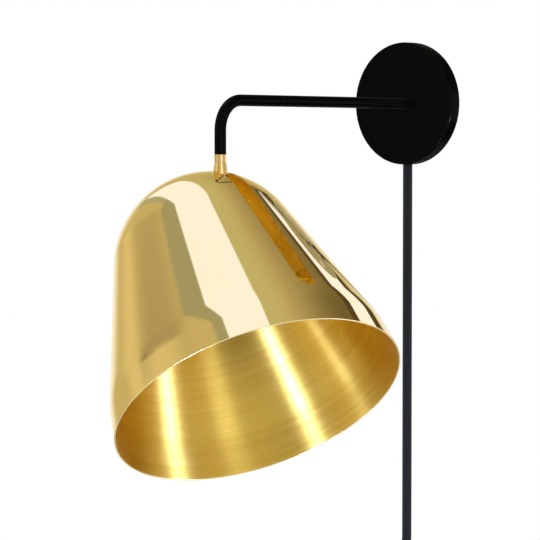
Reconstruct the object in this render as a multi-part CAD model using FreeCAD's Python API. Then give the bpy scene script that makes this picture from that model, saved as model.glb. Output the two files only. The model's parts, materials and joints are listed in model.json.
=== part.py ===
import FreeCAD, Part
import math
import os

# Wall light with a horizontal arm, a hanging bell shade of polished brass and a textile cord.
# Millimetres. The wall is the plane y = 0, the room is on its -Y side, +Z is up and +X is to
# the right as seen from the room. The origin is the centre of the rose's back, on the wall.

Vector = FreeCAD.Vector
RIGHT = Vector(1, 0, 0)
TO_WALL = Vector(0, 1, 0)
TO_ROOM = Vector(0, -1, 0)
UP = Vector(0, 0, 1)
DOWN = Vector(0, 0, -1)

# ---- clearances -------------------------------------------------------------------------
SHAFT_FIT = 0.05        # radial, between a pin or stem and the hole that it turns in
SEAT_FIT = 0.02         # radial, between a fixed part and its hole
FREE_GAP = 0.3          # between parts that pass each other without touching
SLOT_GAP = 1.05         # each side, between the neck and the shade's slot

# ---- rose: the round cover on the wall ----------------------------------------------------
ROSE_RADIUS = 45.0
ROSE_DEPTH = 10.4
ROSE_RIM_WALL = 2.0
ROSE_FACE_WALL = 3.0
ROSE_EDGE_ROUND = 1.6
LOCK_HOLE_ANGLE = -63.9         # degrees from +X, seen from the room; a second one is opposite
LOCK_HOLE_COUNT = 2
LOCK_HOLE_LENGTH = 6.2
LOCK_HOLE_HEIGHT = 3.4
LOCK_HOLE_FROM_WALL = 4.2

# ---- wall plate behind the rose -------------------------------------------------------------
PLATE_THICKNESS = 2.0
PLATE_EDGE_GAP = 0.4
WALL_SLOT_SPACING = 60.0
WALL_SLOT_WIDTH = 4.5
WALL_SLOT_LENGTH = 9.0
PLATE_LUG_WIDTH = 9.0
PLATE_LUG_THICKNESS = 5.5
PLATE_LUG_RIM_GAP = 1.2
PLATE_LUG_HEIGHT = 4.6
LOCK_SCREW_RADIUS = 1.5
LOCK_SCREW_LENGTH = 8.0
LOCK_SCREW_KEY = 1.5            # across the flats of the hexagon socket
LOCK_SCREW_KEY_DEPTH = 2.0

# ---- arm ------------------------------------------------------------------------------------
ARM_REACH = 208.6               # wall to the axis of the hanging neck
ARM_RADIUS = 4.0
ARM_WALL = 1.0
ARM_BEND_RADIUS = 20.5
ARM_END_Z = -37.1
ARM_NUT_ACROSS = 13.0
ARM_NUT_THICKNESS = 2.5
ARM_THREAD_PROUD = 0.4          # how far the arm stands behind its nut
COLLAR_RADIUS = 4.05
COLLAR_HEIGHT = 5.4
SPIGOT_LENGTH = 10.0

# ---- neck: the brass piece that turns under the collar ----------------------------------------
NECK_TOP_GAP = 0.3
NECK_FLARE_RADIUS = 4.75
NECK_FLARE_DROP = 4.9
NECK_RADIUS = 5.0
NECK_FULL_DROP = 7.5            # below the neck's top, where it reaches its full radius
STEM_RADIUS = 2.3
STEM_BORE_RADIUS = 1.75
CLIP_THICKNESS = 0.8
CLIP_GROOVE_DEPTH = 0.35
STEM_ABOVE_CLIP = 1.2

# ---- hinge between the neck and the shade -----------------------------------------------------
PIVOT_Z = -117.1
TONGUE_THICKNESS = 6.0
TONGUE_ROUND = 5.0              # radius of the rounded end about the hinge
TONGUE_HEIGHT = 9.0             # hinge axis to the full neck, and to the bracket's bar
HINGE_GAP = 0.45                # between the two tongues
HINGE_WASHER_THICKNESS = 0.35
HINGE_SCREW_RADIUS = 2.0
HINGE_HEAD_RADIUS = 3.5
HINGE_HEAD_HEIGHT = 2.6
HINGE_SCREW_KEY = 2.5           # across the flats of the hexagon socket
HINGE_SCREW_KEY_DEPTH = 2.0
HINGE_SPRING_THICKNESS = 0.5
HINGE_SPRING_GAP = 0.1
HINGE_NUT_ACROSS = 7.0
HINGE_NUT_THICKNESS = 3.2
SHADE_TURN = -18.7              # degrees from +X to the side that the opening faces
SHADE_TILT = 37.46              # degrees between the shade's axis and straight down

# ---- shade ------------------------------------------------------------------------------------
SHADE_WALL = 1.0
DOME_RADIUS = 65.8
CONE_ANGLE = 17.25
CONE_HEIGHT = 101.7
BLEND_RADIUS = 36.5
BAND_ANGLE = 8.8
BAND_HEIGHT = 21.7
PIVOT_BELOW_APEX = 69.8
SLOT_ABOVE_RIM = 30.2
BAR_THICKNESS = 2.0
BAR_WIDTH = 12.0
BAR_PLATE_RADIUS = 15.0
SHADE_LUG_DEPTH = 5.0
SHADE_LUG_LENGTH = 8.0
BAR_SCREW_RADIUS = 1.5
BAR_SCREW_HEAD_RADIUS = 2.75
BAR_SCREW_HEAD_HEIGHT = 1.6
BAR_SCREW_LENGTH = 5.5
BAR_END_GAP = 1.5               # from the bar's end to the shade's wall

# ---- lamp holder, small screw cap size ----------------------------------------------------------
HOLDER_RADIUS = 13.5
HOLDER_LENGTH = 32.0
HOLDER_BASE = 8.0
HOLDER_ROUND = 2.0
CAP_THREAD_RADIUS = 7.0
CAP_SHELL_WALL = 0.8
CAP_SHELL_LENGTH = 20.0
CONTACT_RADIUS = 2.5
CONTACT_HEIGHT = 3.0
HOLDER_SCREW_SPACING = 20.0
HOLDER_SCREW_LENGTH = 6.0

# ---- wires ------------------------------------------------------------------------------------
WIRE_RADIUS = 0.8
WIRE_SPACING = 1.8
WIRE_BEND_RADIUS = 2.2
WIRE_FROM_WALL = 3.1
WIRE_END_GAP = 0.6
NECK_OUTLET_ABOVE_PIVOT = 14.0
NECK_OUTLET_REACH = 8.0
LEAD_OFFSET = 7.0               # behind the hinge
LEAD_SPACING = 5.4
LEAD_TOP_ABOVE_PIVOT = 4.0

# ---- cord ---------------------------------------------------------------------------------------
CORD_DIAMETER = 7.0
CORD_WALL_GAP = 0.1
CORD_NOTCH_GAP = 0.25
CORD_ARC_SHARE = 0.45           # of the shorter run, which an arc may take up at each end
SHEATH_INSIDE_ROSE = 20.5        # from the rose's lower edge up to the end of the sheath
STRAIGHT_END_Z = -324.0         # the cord hangs straight against the wall down to here
GRIP_HALF_WIDTH = 9.5
GRIP_JAW_GAP = 1.2
GRIP_HEIGHT = 8.0
GRIP_TOP_BELOW_SHEATH = 0.5
GRIP_SCREW_X = 7.0
GRIP_SCREW_RADIUS = 1.5
GRIP_HEAD_RADIUS = 2.2

# ---- switch in the cord ---------------------------------------------------------------------------
SWITCH_TOP_Z = -340.0
SWITCH_LENGTH = 58.0
SWITCH_WIDTH = 26.0
SWITCH_BACK_Y = -0.6
SWITCH_FRONT_Y = -16.6
SWITCH_CORD_Y = -5.3
SWITCH_WALL = 1.6
SWITCH_CORNER = 6.0
SWITCH_EDGE_ROUND = 1.2
SWITCH_INLET_RADIUS = 2.6
SWITCH_SCREW_X = 8.0
SWITCH_SCREW_Z = 20.0
SWITCH_SCREW_RADIUS = 1.1
SWITCH_SCREW_HEAD_RADIUS = 2.2
SWITCH_SCREW_HEAD_HEIGHT = 1.3
SWITCH_BOSS_RADIUS = 3.0
ROCKER_PIVOT_Y = -13.0
ROCKER_RADIUS = 7.2
ROCKER_HALF_WIDTH = 3.9
ROCKER_CREST_Y = -16.9
ROCKER_TIP_Y = -17.9
ROCKER_REST_ANGLE = 7.0
ROCKER_BACK_Y = -10.5
ROCKER_BACK_HALF = 4.0
ROCKER_PIN_RADIUS = 1.0
EAR_THICKNESS = 2.0
EAR_HALF_HEIGHT = 2.4
CONTACT_STRIP_Y = -8.2
CONTACT_STRIP_THICKNESS = 0.8
CONTACT_STRIP_HALF_WIDTH = 3.0
CONTACT_STRIP_LENGTH = 17.0
CONTACT_STRIP_GAP = 6.0

# ---- spare length: a tied coil under the switch ------------------------------------------------------
COIL_MEAN_RADIUS = 40.0
COIL_PITCH = 7.7
COIL_LAYER_STEP = 7.6
COIL_TURNS = 6.1
COIL_CHORDS = 24
GAP_TEST_POINTS = 5             # on each arc of the coil, where its gap to itself is measured
LINK_FIRST_RUN = 18.0
LINK_CORNER_CUT = 14.0
LINK_LAST_RUN = 18.0
TIE_ANGLE = 160.0
TIE_WIDTH = 10.0
TIE_THICKNESS = 0.8
TIE_GAP = 0.2
TAIL_LENGTH = 36.0

# ---- plug -----------------------------------------------------------------------------------------
PLUG_WIDTH = 35.3
PLUG_THICKNESS = 13.7
PLUG_BODY_HEIGHT = 17.0
PLUG_TAPER_HEIGHT = 16.0
PLUG_TOP_WIDTH = 15.0
PLUG_TOP_THICKNESS = 11.0
PLUG_SLEEVE_HEIGHT = 14.0
PLUG_SLEEVE_ROOT_RADIUS = 5.2
PLUG_SLEEVE_TIP_RADIUS = 4.2
PIN_RADIUS = 2.0
PIN_LENGTH = 19.0
PIN_ROOT = 8.0
PIN_ROOT_RADIUS = 1.4
PIN_SPACING = 18.6
PIN_TIP_ROUND = 1.2

# ---- worked out from the sizes above --------------------------------------------------------------------
CORD_RADIUS = CORD_DIAMETER / 2
CORD_Y = -(CORD_WALL_GAP + CORD_RADIUS)
SHEATH_END_Z = -(ROSE_RADIUS - SHEATH_INSIDE_ROSE)
ARM_BORE = ARM_RADIUS - ARM_WALL
COLLAR_BOTTOM_Z = ARM_END_Z - COLLAR_HEIGHT
NECK_TOP_Z = COLLAR_BOTTOM_Z - NECK_TOP_GAP
CLIP_BOTTOM_Z = ARM_END_Z + SPIGOT_LENGTH + FREE_GAP
STEM_TOP_Z = CLIP_BOTTOM_Z + CLIP_THICKNESS + STEM_ABOVE_CLIP
HINGE_OFFSET = TONGUE_THICKNESS + HINGE_GAP     # the shade's axis lies beside the neck's axis
CONE_SLOPE = math.radians(CONE_ANGLE)
BAND_SLOPE = math.radians(BAND_ANGLE)
BAR_TOP = -TONGUE_HEIGHT
BAR_BOTTOM = BAR_TOP - BAR_THICKNESS
COIL_OUTER_RADIUS = COIL_MEAN_RADIUS + COIL_PITCH * COIL_TURNS / 4
SWITCH_BOTTOM_Z = SWITCH_TOP_Z - SWITCH_LENGTH
SWITCH_MIDDLE_Z = SWITCH_TOP_Z - SWITCH_LENGTH / 2


# ---- simple solids ----------------------------------------------------------------------------------------
def box(low, high):
    size = high - low
    return Part.makeBox(size.x, size.y, size.z, low)


def rod(radius, start, end):
    return Part.makeCylinder(radius, (end - start).Length, start, end - start)


def ring(outer, inner, start, end):
    return rod(outer, start, end).cut(rod(inner, start, end))


def hexagon_prism(across_flats, start, end):
    """A six-sided prism along the line from start to end."""
    along = end - start
    aside = along.cross(UP if abs(along.z) < along.Length / 2 else RIGHT).normalize()
    turn = FreeCAD.Rotation(along, 60)
    corner = aside * (across_flats / math.sqrt(3))
    corners = []
    for _ in range(6):
        corners.append(start + corner)
        corner = turn.multVec(corner)
    return Part.Face(Part.makePolygon(corners + corners[:1])).extrude(along)


def revolved(outline, axis_point):
    """A solid of revolution about a vertical axis, from the edges of its half section."""
    return Part.Face(Part.Wire(outline)).revolve(axis_point, UP, 360)


def turned_profile(sizes):
    """A turned solid about the Z axis from (radius, height) corners, axis points included."""
    corners = [Vector(radius, 0, height) for radius, height in sizes]
    return Part.Face(Part.makePolygon(corners + corners[:1])).revolve(Vector(), UP, 360)


def joined(shapes):
    whole = shapes[0]
    for shape in shapes[1:]:
        whole = whole.fuse(shape)
    return whole.removeSplitter()


def group(shapes):
    return Part.makeCompound(shapes)


# ---- routes of tubes, wires and the cord ----------------------------------------------------------------------
def half_turn_at(points, i):
    """Half the angle that the route turns by at its point i."""
    before = points[i] - points[i - 1]
    after = points[i + 1] - points[i]
    return before.getAngle(after) / 2


def arc_between(start, corner, end):
    """The arc that touches the lines start-corner and corner-end at their far ends."""
    middle = (start + end) / 2
    cosine = (end - start).Length / 2 / (corner - start).Length
    return Part.Arc(start, middle + (corner - middle) * (cosine / (1 + cosine)), end).toShape()


def rounded_route(points, radii):
    """Straight runs joined by tangent arcs."""
    edges = []
    start = points[0]
    for i in range(1, len(points) - 1):
        cut = radii[i - 1] * math.tan(half_turn_at(points, i))
        arc_start = points[i] + (points[i - 1] - points[i]).normalize() * cut
        arc_end = points[i] + (points[i + 1] - points[i]).normalize() * cut
        edges.append(Part.LineSegment(start, arc_start).toShape())
        edges.append(arc_between(arc_start, points[i], arc_end))
        start = arc_end
    edges.append(Part.LineSegment(start, points[-1]).toShape())
    return Part.Wire(edges)


def cord_radii(points):
    """The largest arcs that a cord's runs leave room for."""
    radii = []
    for i in range(1, len(points) - 1):
        shorter = min((points[i] - points[i - 1]).Length, (points[i + 1] - points[i]).Length)
        radii.append(CORD_ARC_SHARE * shorter / math.tan(half_turn_at(points, i)))
    return radii


def tube(route, radius, start, heading):
    section = Part.Wire(Part.makeCircle(radius, start, heading))
    return route.makePipeShell([section], True, False)


def report_tube(name, solid, route, radii):
    expected = math.pi * CORD_RADIUS ** 2 * route.Length
    print(name, "length", round(route.Length, 1), "volume over section x length",
          round(solid.Volume / expected, 4), "arc radii", [round(r, 1) for r in radii])


# ---- placing what hangs on the neck ----------------------------------------------------------------------------
def on_neck(shape):
    """Local X points where the opening faces and the hinge axis is Y; the origin is the pivot."""
    placed = shape.copy()
    placed.Placement = neck_placement().multiply(shape.Placement)
    return placed


def on_shade(shape):
    """As on_neck, with Z along the shade's axis, towards its apex."""
    placed = shape.copy()
    tilt = FreeCAD.Placement(Vector(), FreeCAD.Rotation(TO_WALL, -SHADE_TILT))
    placed.Placement = neck_placement().multiply(tilt).multiply(shape.Placement)
    return placed


def neck_placement():
    return FreeCAD.Placement(Vector(0, -ARM_REACH, PIVOT_Z), FreeCAD.Rotation(UP, SHADE_TURN))


# ---- rose ----------------------------------------------------------------------------------------------------
def lock_directions():
    directions = []
    for i in range(LOCK_HOLE_COUNT):
        angle = math.radians(LOCK_HOLE_ANGLE + i * 360 / LOCK_HOLE_COUNT)
        directions.append(Vector(math.cos(angle), 0, math.sin(angle)))
    return directions


def lock_hole(direction):
    """An oblong hole through the rim, long around it."""
    along = direction.cross(TO_WALL) * ((LOCK_HOLE_LENGTH - LOCK_HOLE_HEIGHT) / 2)
    half = TO_WALL * (LOCK_HOLE_HEIGHT / 2)
    inside = direction * (ROSE_RADIUS - 2 * ROSE_RIM_WALL) + TO_ROOM * LOCK_HOLE_FROM_WALL
    through = direction * (3 * ROSE_RIM_WALL)
    corners = [inside - along - half, inside + along - half,
               inside + along + half, inside - along + half]
    middle = Part.Face(Part.makePolygon(corners + corners[:1])).extrude(through)
    ends = [rod(LOCK_HOLE_HEIGHT / 2, inside + end, inside + end + through) for end in (along, -along)]
    return joined([middle] + ends)


def rose_cover():
    front = TO_ROOM * ROSE_DEPTH
    cover = rod(ROSE_RADIUS, Vector(), front)
    edge = [e for e in cover.Edges if abs(e.BoundBox.YMax + ROSE_DEPTH) < 1e-6]
    cover = cover.makeFillet(ROSE_EDGE_ROUND, edge)
    cavity = rod(ROSE_RADIUS - ROSE_RIM_WALL, Vector(), TO_ROOM * (ROSE_DEPTH - ROSE_FACE_WALL))
    cover = cover.cut(cavity)
    cover = cover.cut(rod(ARM_RADIUS + SEAT_FIT, Vector(), front))
    for direction in lock_directions():
        cover = cover.cut(lock_hole(direction))
    notch = CORD_RADIUS + CORD_NOTCH_GAP
    below = Vector(0, CORD_Y, -ROSE_RADIUS - notch)
    cover = cover.cut(rod(notch, below, below + UP * (3 * notch)))
    return cover.cut(box(below - RIGHT * notch, Vector(notch, 0, below.z + 3 * notch)))


def plate_radius():
    return ROSE_RADIUS - ROSE_RIM_WALL - PLATE_EDGE_GAP


def wall_slot(x):
    straight = (WALL_SLOT_LENGTH - WALL_SLOT_WIDTH) / 2
    half = WALL_SLOT_WIDTH / 2
    deep = TO_ROOM * PLATE_THICKNESS
    middle = box(Vector(x - straight, deep.y, -half), Vector(x + straight, 0, half))
    ends = [rod(half, Vector(x + side, 0, 0), Vector(x + side, 0, 0) + deep)
            for side in (-straight, straight)]
    return joined([middle] + ends)


def lock_lug(direction):
    """A block on the plate that the lock screw is threaded through."""
    outer = direction * (ROSE_RADIUS - ROSE_RIM_WALL - PLATE_LUG_RIM_GAP)
    along = direction.cross(TO_WALL) * (PLATE_LUG_WIDTH / 2)
    inward = direction * PLATE_LUG_THICKNESS
    base = outer + TO_ROOM * PLATE_THICKNESS
    corners = [base - along, base + along, base + along - inward, base - along - inward]
    return Part.Face(Part.makePolygon(corners + corners[:1])).extrude(TO_ROOM * PLATE_LUG_HEIGHT)


def lock_screw_line(direction):
    """The lock screw's inner and outer end: its tip stands in the rim's hole."""
    outer = direction * (ROSE_RADIUS - ROSE_RIM_WALL / 2) + TO_ROOM * LOCK_HOLE_FROM_WALL
    return outer - direction * LOCK_SCREW_LENGTH, outer


def wall_plate():
    plate = rod(plate_radius(), Vector(), TO_ROOM * PLATE_THICKNESS)
    for side in (-1, 1):
        plate = plate.cut(wall_slot(side * WALL_SLOT_SPACING / 2))
    notch = CORD_RADIUS + CORD_NOTCH_GAP
    plate = plate.cut(box(Vector(-notch, -PLATE_THICKNESS, -ROSE_RADIUS),
                          Vector(notch, 0, SHEATH_END_Z + FREE_GAP)))
    plate = joined([plate] + [lock_lug(direction) for direction in lock_directions()])
    for direction in lock_directions():
        inner, outer = lock_screw_line(direction)
        plate = plate.cut(rod(LOCK_SCREW_RADIUS + SEAT_FIT, inner - direction, outer))
    for x in (-GRIP_SCREW_X, GRIP_SCREW_X):
        place = Vector(x, 0, grip_middle_z())
        plate = plate.cut(rod(GRIP_SCREW_RADIUS + SEAT_FIT, place, place + TO_ROOM * PLATE_THICKNESS))
    return plate


def lock_screws():
    screws = []
    for direction in lock_directions():
        inner, outer = lock_screw_line(direction)
        socket = hexagon_prism(LOCK_SCREW_KEY, outer - direction * LOCK_SCREW_KEY_DEPTH, outer)
        screws.append(rod(LOCK_SCREW_RADIUS, inner, outer).cut(socket))
    return group(screws)


def grip_middle_z():
    return SHEATH_END_Z - GRIP_TOP_BELOW_SHEATH - GRIP_HEIGHT / 2


def grip_front_y():
    return -(ROSE_DEPTH - ROSE_FACE_WALL - FREE_GAP)


def cord_grip():
    """Two jaws that pinch the cord from its sides."""
    jaws = []
    cord = rod(CORD_RADIUS, Vector(0, CORD_Y, -ROSE_RADIUS), Vector(0, CORD_Y, 0))
    for side in (-1, 1):
        inner, outer = sorted((side * GRIP_JAW_GAP / 2, side * GRIP_HALF_WIDTH))
        jaw = box(Vector(inner, grip_front_y(), grip_middle_z() - GRIP_HEIGHT / 2),
                  Vector(outer, -PLATE_THICKNESS, grip_middle_z() + GRIP_HEIGHT / 2))
        place = Vector(side * GRIP_SCREW_X, grip_front_y(), grip_middle_z())
        hole = rod(GRIP_SCREW_RADIUS + SEAT_FIT, place, Vector(place.x, 0, place.z))
        jaws.append(jaw.cut(cord).cut(hole).cut(grip_head(place)))
    return group(jaws)


def grip_head(place):
    """The countersunk head of a grip screw, flush with the jaw."""
    height = GRIP_HEAD_RADIUS - GRIP_SCREW_RADIUS
    return Part.makeCone(GRIP_HEAD_RADIUS, GRIP_SCREW_RADIUS, height, place, TO_WALL)


def cord_grip_screws():
    screws = []
    for x in (-GRIP_SCREW_X, GRIP_SCREW_X):
        place = Vector(x, grip_front_y(), grip_middle_z())
        shank = rod(GRIP_SCREW_RADIUS, place, Vector(x, 0, place.z))
        screws.append(joined([shank, grip_head(place)]))
    return group(screws)


# ---- arm ----------------------------------------------------------------------------------------------------
def arm_rear_y():
    return -(ROSE_DEPTH - ROSE_FACE_WALL - ARM_NUT_THICKNESS - ARM_THREAD_PROUD)


def arm_route(x, rear_y, end_z):
    """From behind the rose's face out along the arm, round its bend and down."""
    points = [Vector(x, rear_y, 0), Vector(x, -ARM_REACH, 0), Vector(x, -ARM_REACH, end_z)]
    return rounded_route(points, [ARM_BEND_RADIUS])


def arm_tube():
    start = Vector(0, arm_rear_y(), 0)
    route = arm_route(0, start.y, ARM_END_Z)
    return tube(route, ARM_RADIUS, start, TO_ROOM).cut(tube(route, ARM_BORE, start, TO_ROOM))


def arm_nut():
    face = TO_ROOM * (ROSE_DEPTH - ROSE_FACE_WALL)
    back = face + TO_WALL * ARM_NUT_THICKNESS
    return hexagon_prism(ARM_NUT_ACROSS, face, back).cut(rod(ARM_RADIUS + SEAT_FIT, face, back))


def at_neck(z):
    return Vector(0, -ARM_REACH, z)


def arm_collar():
    """The fixed brass ring under the arm, with a spigot brazed into the tube."""
    collar = rod(COLLAR_RADIUS, at_neck(COLLAR_BOTTOM_Z), at_neck(ARM_END_Z))
    spigot = rod(ARM_BORE - SEAT_FIT, at_neck(ARM_END_Z), at_neck(ARM_END_Z + SPIGOT_LENGTH))
    bore = rod(STEM_RADIUS + SHAFT_FIT, at_neck(COLLAR_BOTTOM_Z), at_neck(ARM_END_Z + SPIGOT_LENGTH))
    return joined([collar, spigot]).cut(bore)


def arm_wires():
    """Two insulated cores, side by side, from the cord's end in the rose to the neck's stem."""
    wires = []
    for x in (-WIRE_SPACING / 2, WIRE_SPACING / 2):
        start = Vector(x, -WIRE_FROM_WALL, SHEATH_END_Z)
        points = [start, Vector(x, -WIRE_FROM_WALL, 0), Vector(x, -ARM_REACH, 0),
                  Vector(x, -ARM_REACH, STEM_TOP_Z + WIRE_END_GAP)]
        route = rounded_route(points, [WIRE_BEND_RADIUS, ARM_BEND_RADIUS])
        wires.append(tube(route, WIRE_RADIUS, start, UP))
    return group(wires)


# ---- neck ---------------------------------------------------------------------------------------------------
def above_pivot(z):
    """The height of a place on the neck, counted from the pivot."""
    return z - PIVOT_Z


def swivel_neck():
    top = above_pivot(NECK_TOP_Z)
    stem_top = above_pivot(STEM_TOP_Z)
    clip = above_pivot(CLIP_BOTTOM_Z)
    groove = STEM_RADIUS - CLIP_GROOVE_DEPTH
    body = turned_profile([
        (0, TONGUE_HEIGHT), (NECK_RADIUS, TONGUE_HEIGHT), (NECK_RADIUS, top - NECK_FULL_DROP),
        (NECK_FLARE_RADIUS, top - NECK_FLARE_DROP), (COLLAR_RADIUS, top), (STEM_RADIUS, top),
        (STEM_RADIUS, clip), (groove, clip), (groove, clip + CLIP_THICKNESS),
        (STEM_RADIUS, clip + CLIP_THICKNESS), (STEM_RADIUS, stem_top), (0, stem_top)])
    half = TONGUE_THICKNESS / 2
    blade = box(Vector(-TONGUE_ROUND, -half, 0), Vector(TONGUE_ROUND, half, TONGUE_HEIGHT))
    eye = rod(TONGUE_ROUND, Vector(0, -half, 0), Vector(0, half, 0))
    neck = joined([body, blade, eye])
    outlet = Vector(0, 0, NECK_OUTLET_ABOVE_PIVOT)
    neck = neck.cut(rod(STEM_BORE_RADIUS, outlet, Vector(0, 0, stem_top)))
    neck = neck.cut(Part.makeSphere(STEM_BORE_RADIUS, outlet))
    neck = neck.cut(rod(STEM_BORE_RADIUS, outlet, outlet - RIGHT * (2 * NECK_RADIUS)))
    hinge_hole = rod(HINGE_SCREW_RADIUS + SHAFT_FIT, Vector(0, -half, 0), Vector(0, half, 0))
    return on_neck(neck.cut(hinge_hole))


def swivel_clip():
    low = Vector(0, 0, above_pivot(CLIP_BOTTOM_Z))
    high = low + UP * CLIP_THICKNESS
    return on_neck(ring(ARM_BORE - FREE_GAP, STEM_RADIUS - CLIP_GROOVE_DEPTH, low, high))


def swivel_washer():
    """A thin slip ring that fills the seam between collar and neck."""
    low = Vector(0, 0, above_pivot(NECK_TOP_Z))
    high = low + UP * (NECK_TOP_GAP - SHAFT_FIT)
    return on_neck(ring(COLLAR_RADIUS - FREE_GAP, STEM_RADIUS, low, high))


def neck_wires():
    wires = []
    for y in (-WIRE_SPACING / 2, WIRE_SPACING / 2):
        start = Vector(0, y, above_pivot(STEM_TOP_Z))
        points = [start, Vector(0, y, NECK_OUTLET_ABOVE_PIVOT),
                  Vector(-NECK_OUTLET_REACH, y, NECK_OUTLET_ABOVE_PIVOT)]
        wires.append(tube(rounded_route(points, [WIRE_BEND_RADIUS / 2]), WIRE_RADIUS, start, DOWN))
    return on_neck(group(wires))


# ---- shade --------------------------------------------------------------------------------------------------
def shade_section(inset):
    """(radius, height) joints of the shade's line, inset from its outer face, apex first.

    Heights are counted up from the pivot. The line is an arc, a straight flank, a small arc
    and a straight band that ends at the rim's plane.
    """
    centre = PIVOT_BELOW_APEX - DOME_RADIUS
    flank_top = (DOME_RADIUS * math.cos(CONE_SLOPE), centre + DOME_RADIUS * math.sin(CONE_SLOPE))
    flank_end = (flank_top[0] + CONE_HEIGHT * math.tan(CONE_SLOPE), flank_top[1] - CONE_HEIGHT)
    blend = (flank_end[0] - BLEND_RADIUS * math.cos(CONE_SLOPE),
             flank_end[1] - BLEND_RADIUS * math.sin(CONE_SLOPE))
    rim_height = blend[1] + BLEND_RADIUS * math.sin(BAND_SLOPE) - BAND_HEIGHT
    rim_radius = (blend[0] + BLEND_RADIUS * math.cos(BAND_SLOPE)
                  + BAND_HEIGHT * math.tan(BAND_SLOPE) - inset / math.cos(BAND_SLOPE))

    def on_arc(middle, radius, slope):
        return (middle[0] + (radius - inset) * math.cos(slope),
                middle[1] + (radius - inset) * math.sin(slope))

    dome = (0, centre)
    middle_slope = (CONE_SLOPE + BAND_SLOPE) / 2
    return [on_arc(dome, DOME_RADIUS, math.pi / 2), on_arc(dome, DOME_RADIUS, math.pi / 4),
            on_arc(dome, DOME_RADIUS, CONE_SLOPE), on_arc(blend, BLEND_RADIUS, CONE_SLOPE),
            on_arc(blend, BLEND_RADIUS, middle_slope), on_arc(blend, BLEND_RADIUS, BAND_SLOPE),
            (rim_radius, rim_height)]


def shade_line(inset):
    """The shade's line as edges in its half section plane, apex first, and its two end points."""
    points = [Vector(radius, -HINGE_OFFSET, height) for radius, height in shade_section(inset)]
    apex, dome_middle, flank_top, flank_end, blend_middle, band_top, rim = points
    edges = [Part.Arc(apex, dome_middle, flank_top).toShape(),
             Part.LineSegment(flank_top, flank_end).toShape(),
             Part.Arc(flank_end, blend_middle, band_top).toShape(),
             Part.LineSegment(band_top, rim).toShape()]
    return edges, apex, rim


def rim_height():
    return shade_section(0)[-1][1]


def inner_space():
    """What the shade's inner face encloses, down to the rim."""
    line, apex, rim = shade_line(SHADE_WALL)
    foot = Vector(0, rim.y, rim.z)
    closing = [Part.LineSegment(rim, foot).toShape(), Part.LineSegment(foot, apex).toShape()]
    return revolved(line + closing, foot)


def slot_cutter():
    """The neck's slot: from over the apex down one side of the shade, round at both ends."""
    half = NECK_RADIUS + SLOT_GAP
    top = Vector(0, 0, PIVOT_BELOW_APEX + half)
    end = Vector(0, 0, rim_height() + SLOT_ABOVE_RIM + half)
    outside = RIGHT * (2 * DOME_RADIUS)
    straight = box(end - TO_WALL * half, top + TO_WALL * half + outside)
    return joined([straight, rod(half, end, end + outside), rod(half, UP * half, top)])


def shade_shell():
    outer, apex, rim = shade_line(0)
    inner, inner_apex, inner_rim = shade_line(SHADE_WALL)
    closing = [Part.LineSegment(rim, inner_rim).toShape(),
               Part.LineSegment(inner_apex, apex).toShape()]
    axis_foot = Vector(0, -HINGE_OFFSET, 0)
    section = Part.__sortEdges__(outer + inner + closing)
    return on_shade(revolved(section, axis_foot).cut(slot_cutter()))


def inner_radius_at(height):
    """The radius of the shade's inner flank at a height counted from the pivot."""
    radius, level = shade_section(SHADE_WALL)[2]
    return radius + (level - height) * math.tan(CONE_SLOPE)


def bar_screw_places():
    reach = inner_radius_at(BAR_TOP) - SHADE_LUG_LENGTH / 2 - BAR_END_GAP / 2
    return [Vector(0, -HINGE_OFFSET + side * reach, BAR_BOTTOM) for side in (-1, 1)]


def bar_screw_head(place):
    height = BAR_SCREW_HEAD_HEIGHT
    return Part.makeCone(BAR_SCREW_HEAD_RADIUS, BAR_SCREW_RADIUS, height, place, UP)


def shade_lugs():
    """Two blocks brazed to the inside of the shade, each with a blind threaded hole."""
    lugs = []
    space = inner_space()
    reach = inner_radius_at(BAR_TOP)
    for place in bar_screw_places():
        side = math.copysign(1, place.y + HINGE_OFFSET)
        near, far = sorted((side * (reach - SHADE_LUG_LENGTH), side * (reach + SHADE_LUG_LENGTH)))
        block = box(Vector(-BAR_WIDTH / 2, near - HINGE_OFFSET, BAR_TOP),
                    Vector(BAR_WIDTH / 2, far - HINGE_OFFSET, BAR_TOP + SHADE_LUG_DEPTH))
        hole = rod(BAR_SCREW_RADIUS + SEAT_FIT, place, place + UP * (BAR_SCREW_LENGTH + SEAT_FIT))
        lugs.append(block.common(space).cut(hole))
    return on_shade(group(lugs))


def shade_bracket():
    """A cross bar with a tongue for the hinge and a round plate for the lamp holder."""
    axis = Vector(0, -HINGE_OFFSET, 0)
    half = TONGUE_THICKNESS / 2
    reach = inner_radius_at(BAR_TOP) - BAR_END_GAP
    bar = box(axis + Vector(-BAR_WIDTH / 2, -reach, BAR_BOTTOM),
              axis + Vector(BAR_WIDTH / 2, reach, BAR_TOP))
    plate = rod(BAR_PLATE_RADIUS, axis + UP * BAR_BOTTOM, axis + UP * BAR_TOP)
    blade = box(axis + Vector(-TONGUE_ROUND, -half, BAR_BOTTOM),
                axis + Vector(TONGUE_ROUND, half, 0))
    eye = rod(TONGUE_ROUND, axis - TO_WALL * half, axis + TO_WALL * half)
    bracket = joined([bar, plate, blade, eye])
    bracket = bracket.cut(rod(HINGE_SCREW_RADIUS + SEAT_FIT, axis - TO_WALL * half,
                              axis + TO_WALL * half))
    for place in bar_screw_places():
        hole = rod(BAR_SCREW_RADIUS + SEAT_FIT, place, place + UP * BAR_THICKNESS)
        bracket = bracket.cut(hole).cut(bar_screw_head(place))
    for place in holder_screw_places() + lead_places():
        bracket = bracket.cut(rod(BAR_SCREW_RADIUS + SEAT_FIT, place + UP * BAR_BOTTOM,
                                  place + UP * BAR_TOP))
    return on_shade(bracket)


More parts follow.
